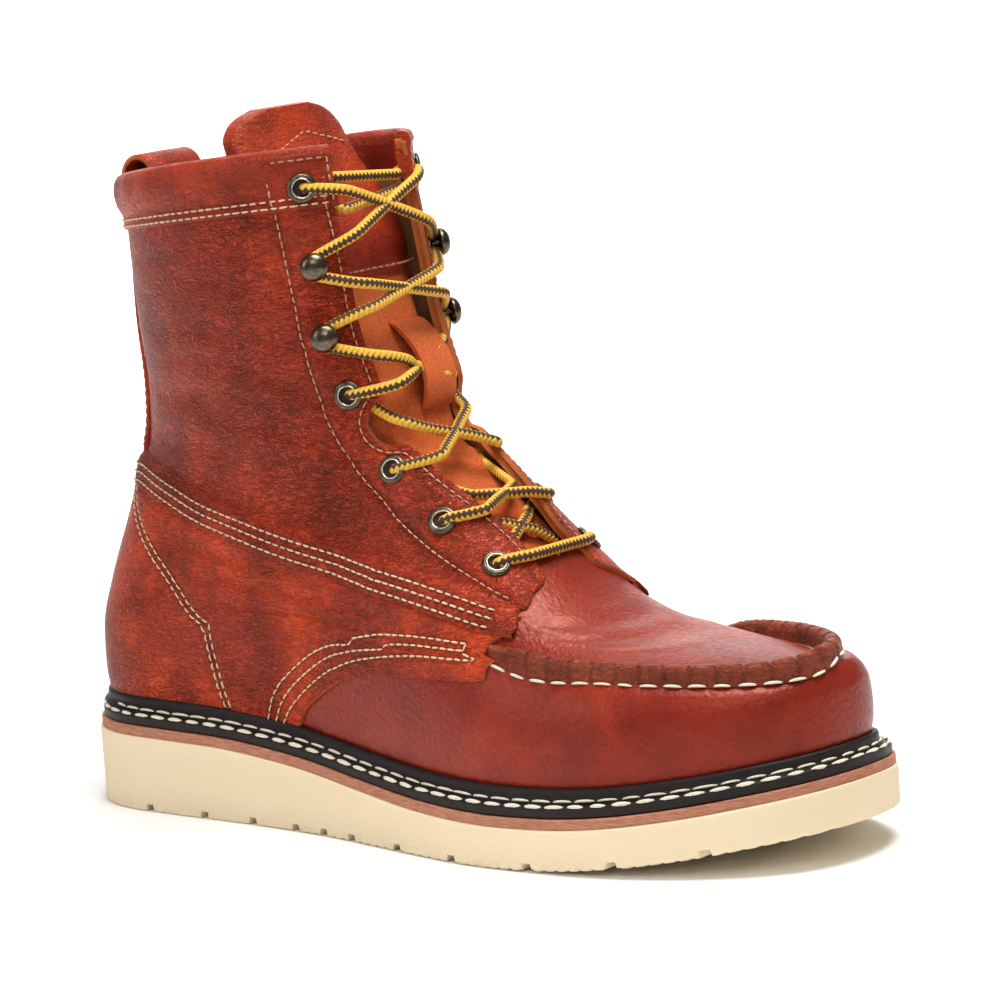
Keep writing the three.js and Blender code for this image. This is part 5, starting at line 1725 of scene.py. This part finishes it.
def make_tongue():
    obj = tongue_sheet("tongue_suede", 11.6, 25.95, 0.0, TONGUE_THICK, SUEDE)
    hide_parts("tongue")
    pad = tongue_sheet("tongue_pad", 20.4, 26.0, -0.9, 3.6, BAND_LEATHER, 110, 80, 0.6, 1.8)
    # Stitches: across the pad's lower edge and along a wide V above it
    for rows, ys in (
        (np.full(60, 20.62), np.linspace(-26, 26, 60)),
        (np.linspace(24.1, 25.05, 40), np.linspace(-24, 4, 40)),
        (np.linspace(25.05, 24.5, 40), np.linspace(4.5, 22, 40)),
    ):
        line = tongue_point(rows, ys, np.full(len(rows), -2.5))
        ahead = tongue_point(rows, ys, np.full(len(rows), -4.5))
        fine.row(line, unit(ahead - line), pitch=3.0, radius=0.36)


# Keeper of the lace, a strip of suede on the tongue: section lines, mm from the middle, and mm of rise
KEEPER_ROWS = (17.3, 19.3)
KEEPER_ACROSS = (1.0, 16.0)
KEEPER_RISE = 5.2


def make_keeper():
    rows = np.linspace(*KEEPER_ROWS, 30)
    ys = np.linspace(*KEEPER_ACROSS, 24)
    grid_rows, grid_ys = np.meshgrid(rows, ys, indexing="ij")
    t = np.clip((rows - rows[0]) / (rows[-1] - rows[0]), 0, 1)
    lift = KEEPER_RISE * np.sin(np.pi * t)[:, None] ** 0.6
    top = tongue_point(grid_rows, grid_ys, -0.3 - lift)
    low = tongue_point(grid_rows, grid_ys, 1.0 - lift)
    piece = Pieces()
    piece.sheet(top, low)
    obj = piece.make("lace_keeper", [SUEDE])


# Eyelets and hooks
def lathe(profile, seat, normal, sides=40):
    turn = np.linspace(0, 2 * np.pi, sides, endpoint=False)
    across = unit(np.cross([0, 0, 1.0], normal))
    other = np.cross(normal, across)
    round_ = np.cos(turn)[:, None] * across, np.sin(turn)[:, None] * other
    return np.array([seat + normal * h + round_[0] * r + round_[1] * r for r, h in profile])


# Sections of the metal: radius and height over the leather, in mm
EYELET_RIM = [
    (2.6, -3.4), (3.0, -3.0), (3.05, 0.1), (4.75, 0.0), (4.85, 0.35), (4.6, 0.85), (4.1, 1.15), (3.65, 1.2),
    (3.5, 1.12), (3.3, 0.7),
]
EYELET_RING = [(3.45, 0.9), (3.42, 1.25), (3.2, 1.38), (2.95, 1.25), (2.8, 0.8), (2.7, 0.2), (2.6, -3.2)]
# A flat disc just over the leather inside each eyelet, painted near black as the shade in its hole: radius
# and height, in mm.
HOLE_SHADE_DISC = [(2.95, 0.22), (1.2, 0.18), (0.02, 0.18)]
HOOK_FOOT = [(3.4, -0.2), (3.5, 0.2), (2.6, 0.45), (1.2, 0.7), (0.95, 1.2), (0.95, 3.6), (1.6, 4.0)]
HOOK_HEAD = [
    (1.9, 3.5), (3.2, 3.45), (4.2, 3.6), (4.6, 4.0), (4.62, 4.5), (4.35, 5.3), (3.75, 6.1), (2.8, 6.75),
    (1.6, 7.15), (0.6, 7.28), (0.02, 7.3),
]


def seat_of(row, t, side):
    angle = angle_of(t, side)
    normal = skin_normal(row, angle)
    return dressed(np.array([row]), np.array([float(angle)]), np.array([0.0]))[0], normal


def make_hardware():
    for kind, number, row, t in HARDWARE:
        for name, side in SIDES:
            foot, normal = seat_of(row, t, side)
            over_band = 0.55 if number == 1 else 0.0
            seat = foot + normal * (FACING_TOP + 0.02 + over_band)
            piece = Pieces()
            profiles, materials = (HOOK_FOOT, HOOK_HEAD), [BRONZE]
            if kind == "eyelet":
                profiles, materials = (EYELET_RIM, EYELET_RING), [BRASS_RIM, BRASS_RING]
            for i, profile in enumerate(profiles):
                rings = lathe(resample(profile, 26), seat, normal)
                piece.add(rings, grid_faces(*rings.shape[:2], closed=True)[:, ::-1], i % len(materials))
            obj = piece.make(f"{kind}_{number}_{name}_metal", materials)
            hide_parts(f"{kind}_{number}_{name}")
            if kind == "eyelet":
                # A dark disc over the leather inside the eyelet: painted shade for its hole.
                shade_disc = Pieces()
                disc = lathe(HOLE_SHADE_DISC, seat, normal, 24)
                shade_disc.add(disc, grid_faces(*disc.shape[:2], closed=True)[:, ::-1])
                shade = shade_disc.make(f"eyelet_{number}_{name}_hole", [HOLE_SHADE])


# Lace
CORD_WIDTH = 3.7  # mm of the lace where nothing presses on it
DIP = 6.3  # mm that the lace goes down under the keeper


def throat_half(row):
    edge = np.array(FACING_EDGE)[::-1]
    x, z = side_point(row, np.interp(row, edge[:, 0], edge[:, 1]))
    return float(np.sqrt(width_squared(x, z)))


def strand(start, end, side, points=26):
    """Points over the tongue from one side to the other. A place is a row, a distance from the middle
    and a lift over the leather's outer face."""
    t = np.linspace(0, 1, points)
    row = share(start[0], end[0], t)
    y = side * share(start[1], -end[1], t)
    lift = share(start[2], end[2], np.clip((t - LACE_DROP) / (1 - LACE_DROP), 0, 1))
    if KEEPER_ROWS[0] < (start[0] + end[0]) / 2 < KEEPER_ROWS[1]:
        lift = lift - DIP * smooth((y + 9) / 9) * smooth((25 - y) / 9)
    wide = np.maximum(np.abs(y), THROAT_FLAT)
    where = share_at_half(row, wide)
    sides = np.where(y < 0, -1, 1)
    angle = angle_of(where, 1) * sides
    base = skin(row, angle)
    centre = middle(base[:, 0], base[:, 2])
    made = base + skin_normal(row, angle) * lift[:, None]
    made[:, 1] = share(centre, made[:, 1], np.abs(y) / wide)
    return made


def beside(piece, up):
    kind, _, row, t = piece
    x, z = side_point(row, t)
    half = float(np.sqrt(width_squared(x, z)))
    hook = kind == "hook"
    radius = HOOK_RADIUS if hook else EYELET_RADIUS
    return (
        row + up * ROWS_AROUND if hook else row,
        half - radius - LACE_CLEAR,
        FACING_TOP + LACE_CLEAR + LACE_WIDTH / 2,
    )


def under(row, deeper=0.0):
    return (row, throat_half(row) - LACE_WIDTH / 2 - THROAT_CLEAR, -LACE_DIVE - deeper)


def tucked(row):
    """A place further out under a flap."""
    return (row, throat_half(row) + 5, -LACE_DIVE - 1.2)


def through_hole(piece, side, outward):
    """The way through an eyelet, from the inside out or back."""
    _, _, row, t = piece
    foot, normal = seat_of(row, t, side)
    heights = [-5.5, -3.0, 0.0, 2.2, 3.4]
    way = [foot + normal * h for h in heights]
    return np.array(way if outward else way[::-1])


def round_hook(piece, side, upwards):
    """The way round a hook's neck, on the side away from the throat."""
    _, _, row, t = piece
    foot, normal = seat_of(row, t, side)
    up = unit(skin(row + 0.3, angle_of(t, side)) - skin(row - 0.3, angle_of(t, side)))
    away = unit(np.cross(up, normal)) * side
    radius = 0.95 + CORD_WIDTH / 2
    centre = foot + normal * (FACING_TOP + CORD_WIDTH / 2 + 0.15)
    turn = np.linspace(-75, 75, 9) * math.pi / 180
    way = [centre + away * radius * math.cos(a) + up * radius * math.sin(a) for a in turn]
    if (way[-1] - way[0]) @ up < 0:
        way = way[::-1]
    return np.array(way if upwards else way[::-1])


def lace_half(side):
    """One end of the lace from the lowest eyelet up to the top one."""
    e1, h2, h3, e4, e5, e6, e7 = HARDWARE
    way = [through_hole(e7, side, outward=False)]
    way.append(strand(under(LOWEST_CROSS[0], 0.6), under(LOWEST_CROSS[1], 0.6), side)[2:-2])
    side = -side
    for low, high in ((e6, e5), (e5, e4)):
        way.append(through_hole(low, side, outward=True))
        way.append(strand(beside(low, 1), under(high[2] - ROWS_UNDER), side)[2:])
        side = -side
    way.append(through_hole(e4, side, outward=True))
    way.append(strand(beside(e4, 1), beside(h3, -1), side)[2:-1])
    side = -side
    way.append(round_hook(h3, side, upwards=True))
    way.append(strand(beside(h3, 1), beside(h2, -1), side)[1:-1])
    side = -side
    way.append(round_hook(h2, side, upwards=True))
    way.append(strand(beside(h2, 1), beside(e1, -1), side)[1:-2])
    side = -side
    way.append(through_hole(e1, side, outward=False))
    return np.vstack(way), side


def tube(points, width, sides=14, spacing=0.45, flat=0.92):
    """A tube along smoothed points, with the distance along and the share around at each vertex."""
    curve = catmull(points, spacing)
    tangent = unit(np.gradient(curve, axis=0))
    normal = np.zeros_like(curve)
    first = np.cross(tangent[0], [0.3, 0.2, 1.0])
    normal[0] = first / np.linalg.norm(first)
    for i in range(1, len(curve)):
        n = normal[i - 1] - tangent[i] * (normal[i - 1] @ tangent[i])
        normal[i] = n / np.linalg.norm(n)
    other = np.cross(tangent, normal)
    turn = np.linspace(0, 2 * np.pi, sides + 1)
    rings = (
        curve[:, None]
        + normal[:, None] * (np.cos(turn) * width / 2)[None, :, None]
        + other[:, None] * (np.sin(turn) * width / 2 * flat)[None, :, None]
    )
    along = distances(curve)
    return rings, np.repeat(along, sides + 1), np.tile(turn / (2 * np.pi), len(curve))


def catmull(points, spacing):
    """Evenly spaced points of a smooth curve through the given ones."""
    points = np.asarray(points, float)
    keep = [0]
    for i in range(1, len(points)):
        if np.linalg.norm(points[i] - points[keep[-1]]) > 0.9:
            keep.append(i)
    points = points[keep]
    for _ in range(2):
        points[1:-1] = 0.5 * points[1:-1] + 0.25 * (points[:-2] + points[2:])
    padded = np.vstack([2 * points[0] - points[1], points, 2 * points[-1] - points[-2]])
    t = np.linspace(0, 1, 12, endpoint=False)[:, None]
    made = []
    for i in range(1, len(padded) - 2):
        a, b, c, d = padded[i - 1:i + 3]
        made.append(0.5 * (
            2 * b + (c - a) * t + (2 * a - 5 * b + 4 * c - d) * t * t + (3 * b - a - 3 * c + d) * t**3
        ))
    made = np.vstack([*made, padded[-2:-1]])
    length = np.linalg.norm(np.diff(made, axis=0), axis=1).sum()
    return resample(made, max(int(length / spacing), 4))


def make_lace():
    """One cord: from behind one top eyelet down to the lowest pair, over the bar and up again."""
    e7 = HARDWARE[-1]
    bar = strand(beside(e7, 0), beside(e7, 0), 1)[2:-2]
    outer, outer_end = lace_half(-1)
    inner, inner_end = lace_half(1)
    hidden = strand(under(22.2, 0.6), tucked(22.6), outer_end)
    hidden_far = strand(under(22.9, 0.6), tucked(23.2), inner_end)
    way = np.vstack([hidden[::-1], outer[::-1], bar[::-1], inner, hidden_far])
    rings, along, around = tube(way, CORD_WIDTH)
    piece = Pieces()
    piece.add(rings, grid_faces(*rings.shape[:2]))
    piece.cap(rings[0])
    piece.cap(rings[-1])
    obj = piece.make("lace", [CORD])
    caps = np.zeros(2 * rings.shape[1])
    attribute(obj, "along", np.concatenate([along, caps]))
    attribute(obj, "around", np.concatenate([around, caps]))
    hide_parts(*[f"lace_cross_{i}" for i in range(1, 7)], "lace_bar")


# Pull loop
LOOP_AHEAD = 6.0  # mm that it has settled with the collar
LOOP_ASIDE = 5.0
LOOP_DOWN = 6.0
# Its section: place across, height over the strip's middle, and 1 on the cut edges
LOOP_HALF = LOOP_WIDTH / 2
LOOP_SECTION = [
    (-LOOP_HALF, -0.6, 1), (-LOOP_HALF, 0.6, 1), (-LOOP_HALF + 0.5, 0.95, 0), (0.0, 1.05, 0),
    (LOOP_HALF - 0.5, 0.95, 0), (LOOP_HALF, 0.6, 1), (LOOP_HALF, -0.6, 1), (LOOP_HALF - 0.5, -0.95, 0),
    (0.0, -0.95, 0), (-LOOP_HALF + 0.5, -0.95, 0),
]


def make_loop():
    rim_x = float(side_point(23.8, 0.0)[0])
    outside = rim_x - BAND_THICK - GAP - LOOP_THICK
    radius = LOOP_REACH / 2
    stretch = LOOP_RISE / radius
    arc = np.linspace(0, np.pi, 40)
    mid_r = radius - LOOP_THICK / 2
    path = [(outside + LOOP_THICK / 2, COLLAR_HEIGHT - LOOP_TAIL)]
    path += [
        (outside + radius - mid_r * math.cos(a), COLLAR_HEIGHT + mid_r * stretch * math.sin(a)) for a in arc
    ]
    path += [(outside + LOOP_REACH - LOOP_THICK / 2, COLLAR_HEIGHT - LOOP_TAIL_INSIDE)]
    line = resample(path, 70)
    tangent = unit(np.gradient(line, axis=0))
    normal = np.stack([-tangent[:, 1], tangent[:, 0]], 1)
    count = len(LOOP_SECTION)
    rings = np.zeros((len(line), count, 3))
    for k, (y, out, _) in enumerate(LOOP_SECTION):
        side_view = line + normal * out
        rings[:, k, 0] = side_view[:, 0] + LOOP_AHEAD
        rings[:, k, 1] = LOOP_ASIDE + y
        rings[:, k, 2] = side_view[:, 1] - LOOP_DOWN
    piece = Pieces()
    piece.add(rings, grid_faces(len(line), count, closed=True))
    cut = [point[2] for point in LOOP_SECTION]
    piece.kinds = [cut[k] * cut[(k + 1) % count] for k in range(count)] * (len(line) - 1)
    obj = piece.make("pull_strap", [BAND_LEATHER, CUT])
    attribute(obj, "seam", np.zeros(piece.count))
    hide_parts("pull_loop")


def make_stitch_rows():
    """Rows along the panel lines. Their places are kept in SEAMS, so the leather can dip there and be painted
    darker there as shade.
    """
    for _, side in SIDES:
        # Diagonal seam over the quarter
        rows, angles, _ = curve_on([[15.25, 0.02], *QUARTER_TOP], side, 420)
        seam_rows(rows, angles, [d * side for d in MARGIN_ROWS], 1.95)
        # Wing: three rows inside its edge
        low = curve_on(WING_LOW_ROW, side, 300)[:2]
        high = curve_on(WING_TOP_ROW, side, 300)[:2]
        for part in (0.0, 0.5, 1.0):
            rows, angles = share(low[0], high[0], part), share(low[1], high[1], part)
            seam_rows(rows, angles, [0.0], FACING_TOP - 0.05)
        ends = [np.linspace(low[c][-1], high[c][-1], 30) for c in (0, 1)]
        seam_rows(ends[0], ends[1], [0.0], FACING_TOP - 0.05)
        # Counter: two rows inside its front edge
        rows, angles, _ = curve_on(COUNTER, side, 320)
        rows, angles = softened(rows, 36), softened(angles, 36)
        seam_rows(rows, angles, [-0.2 * side, 2.2 * side], COUNTER_TOP - 0.1)
        # Facing: one row inside its back line, one along its front edge
        rows, angles, _ = curve_on(FACING_BACK, side, 420)
        keep = rows < 24.0
        seam_rows(rows[keep], angles[keep], [-1.6 * side], FACING_TOP * 0.5, fine, 3.0, 0.27)
        rows, angles, _ = curve_on(FACING_EDGE[1:], side, 420)
        seam_rows(rows, angles, [2.6 * side], FACING_TOP - 0.1, fine, 3.0, 0.27)


make_stitch_rows()
make_upper()
make_quarters()
make_shaft_margins()
make_facings()
make_counter()
make_backstay()
make_band()
make_ridge()
make_sole()
make_welt()
make_insole()
make_tongue()
make_keeper()
make_hardware()
make_lace()
make_loop()
for stitches, name, material in (
    (cream, "cream_stitches", CREAM_THREAD),
    (fine, "fine_stitches", FACING_THREAD),
):
    obj = stitches.make(name, material)


# Floor, light and camera
def make_stage():
    s = Shader("studio_floor")
    grain = s.noise(40, 2)
    s.set(Base_Color=s.mix(grain, (0.93, 0.93, 0.93), (0.95, 0.95, 0.95)), Roughness=0.9)
    azimuth = math.radians(CAMERA_AZIMUTH)
    parts = s.axes()

    def way(x, y):
        return s.math("ADD", s.math("MULTIPLY", parts["X"], x), s.math("MULTIPLY", parts["Y"], y))

    away = way(-math.sin(azimuth), math.cos(azimuth))
    aside = way(math.cos(azimuth), math.sin(azimuth))
    narrow = s.ramp(s.math("ABSOLUTE", aside), 0.6, 1.0, 1.0, 0.0)
    s.set(Emission_Strength=s.math("MULTIPLY", s.ramp(away, 0.15, 0.9, 0.0, 1.05), narrow))
    s.set(Emission_Color=(1, 1, 1, 1))
    # A sheet that goes from the floor up the wall behind, in metres
    wide, front, back, turn, top = 4.0, -3.0, 2.2, 0.9, 3.5
    start = back - turn
    bend = np.linspace(0, math.pi / 2, 14)
    line = [(front, 0.0), (start, 0.0)]
    line += [(start + turn * math.sin(a), turn - turn * math.cos(a)) for a in bend]
    line += [(back, top)]
    ahead = np.array([-math.sin(azimuth), math.cos(azimuth), 0])
    across = np.array([math.cos(azimuth), math.sin(azimuth), 0])
    points = [
        tuple(ahead * d + across * w + np.array([0.1, 0, z])) for d, z in line for w in (-wide, wide)
    ]
    faces = [(2 * i, 2 * i + 1, 2 * i + 3, 2 * i + 2) for i in range(len(line) - 1)]
    mesh = bpy.data.meshes.new("studio_floor")
    mesh.from_pydata([tuple(map(float, p)) for p in points], [], faces)
    mesh.materials.append(s.material)
    mesh.polygons.foreach_set("use_smooth", np.full(len(faces), True))
    floor = bpy.data.objects.new("studio_floor", mesh)
    bpy.context.scene.collection.objects.link(floor)


def camera_axes():
    a, e, r = (math.radians(v) for v in (CAMERA_AZIMUTH, CAMERA_ELEVATION, CAMERA_ROLL))
    back = Vector((math.sin(a) * math.cos(e), -math.cos(a) * math.cos(e), math.sin(e)))
    right = Vector((math.cos(a), math.sin(a), 0))
    up = back.cross(right)
    return right * math.cos(r) + up * math.sin(r), up * math.cos(r) - right * math.sin(r), back


def make_camera():
    right, up, back = camera_axes()
    aim = Vector(place([CAMERA_AIM])[0])
    data = bpy.data.cameras.new("camera")
    data.lens = CAMERA_LENS
    data.sensor_width = 36
    data.clip_start, data.clip_end = 0.1, 20
    camera = bpy.data.objects.new("camera", data)
    bpy.context.scene.collection.objects.link(camera)
    turn = Matrix((right, up, back)).transposed().to_4x4()
    camera.matrix_world = Matrix.Translation(aim + back * CAMERA_DISTANCE / 1000) @ turn
    bpy.context.scene.camera = camera


def area_light(name, where, at, size, power, colour=(1, 1, 1)):
    data = bpy.data.lights.new(name, "AREA")
    data.shape = "RECTANGLE"
    data.size, data.size_y = size
    data.energy = power
    data.color = colour
    light = bpy.data.objects.new(name, data)
    light.location = where
    light.rotation_euler = (Vector(at) - Vector(where)).to_track_quat("-Z", "Y").to_euler()
    bpy.context.scene.collection.objects.link(light)


def make_lights():
    right, _, back = camera_axes()
    centre = Vector((0.1, 0, 0.1))

    def spot(side, toward, height):
        """A place, in metres from the centre: to the camera's right, towards it, and up."""
        level = Vector((right.x, right.y, 0)) * side + Vector((back.x, back.y, 0)) * toward
        return centre + level + Vector((0, 0, height))

    area_light("top", spot(0.22, 0.10, 1.25), centre, (0.75, 0.75), 25, (1.0, 0.985, 0.96))
    area_light("front", spot(-0.20, 1.35, 0.95), centre, (0.6, 0.6), 5, (1.0, 0.99, 0.97))
    area_light("left", spot(-1.20, 0.45, 0.55), centre, (0.5, 0.8), 4)
    world = bpy.data.worlds.new("studio")
    bpy.context.scene.world = world
    world.use_nodes = True
    sky = world.node_tree.nodes["Background"].inputs
    sky["Color"].default_value = (1, 1, 1, 1)
    sky["Strength"].default_value = 0.17
    bpy.context.scene.view_settings.view_transform = "Standard"


make_stage()
make_camera()
make_lights()
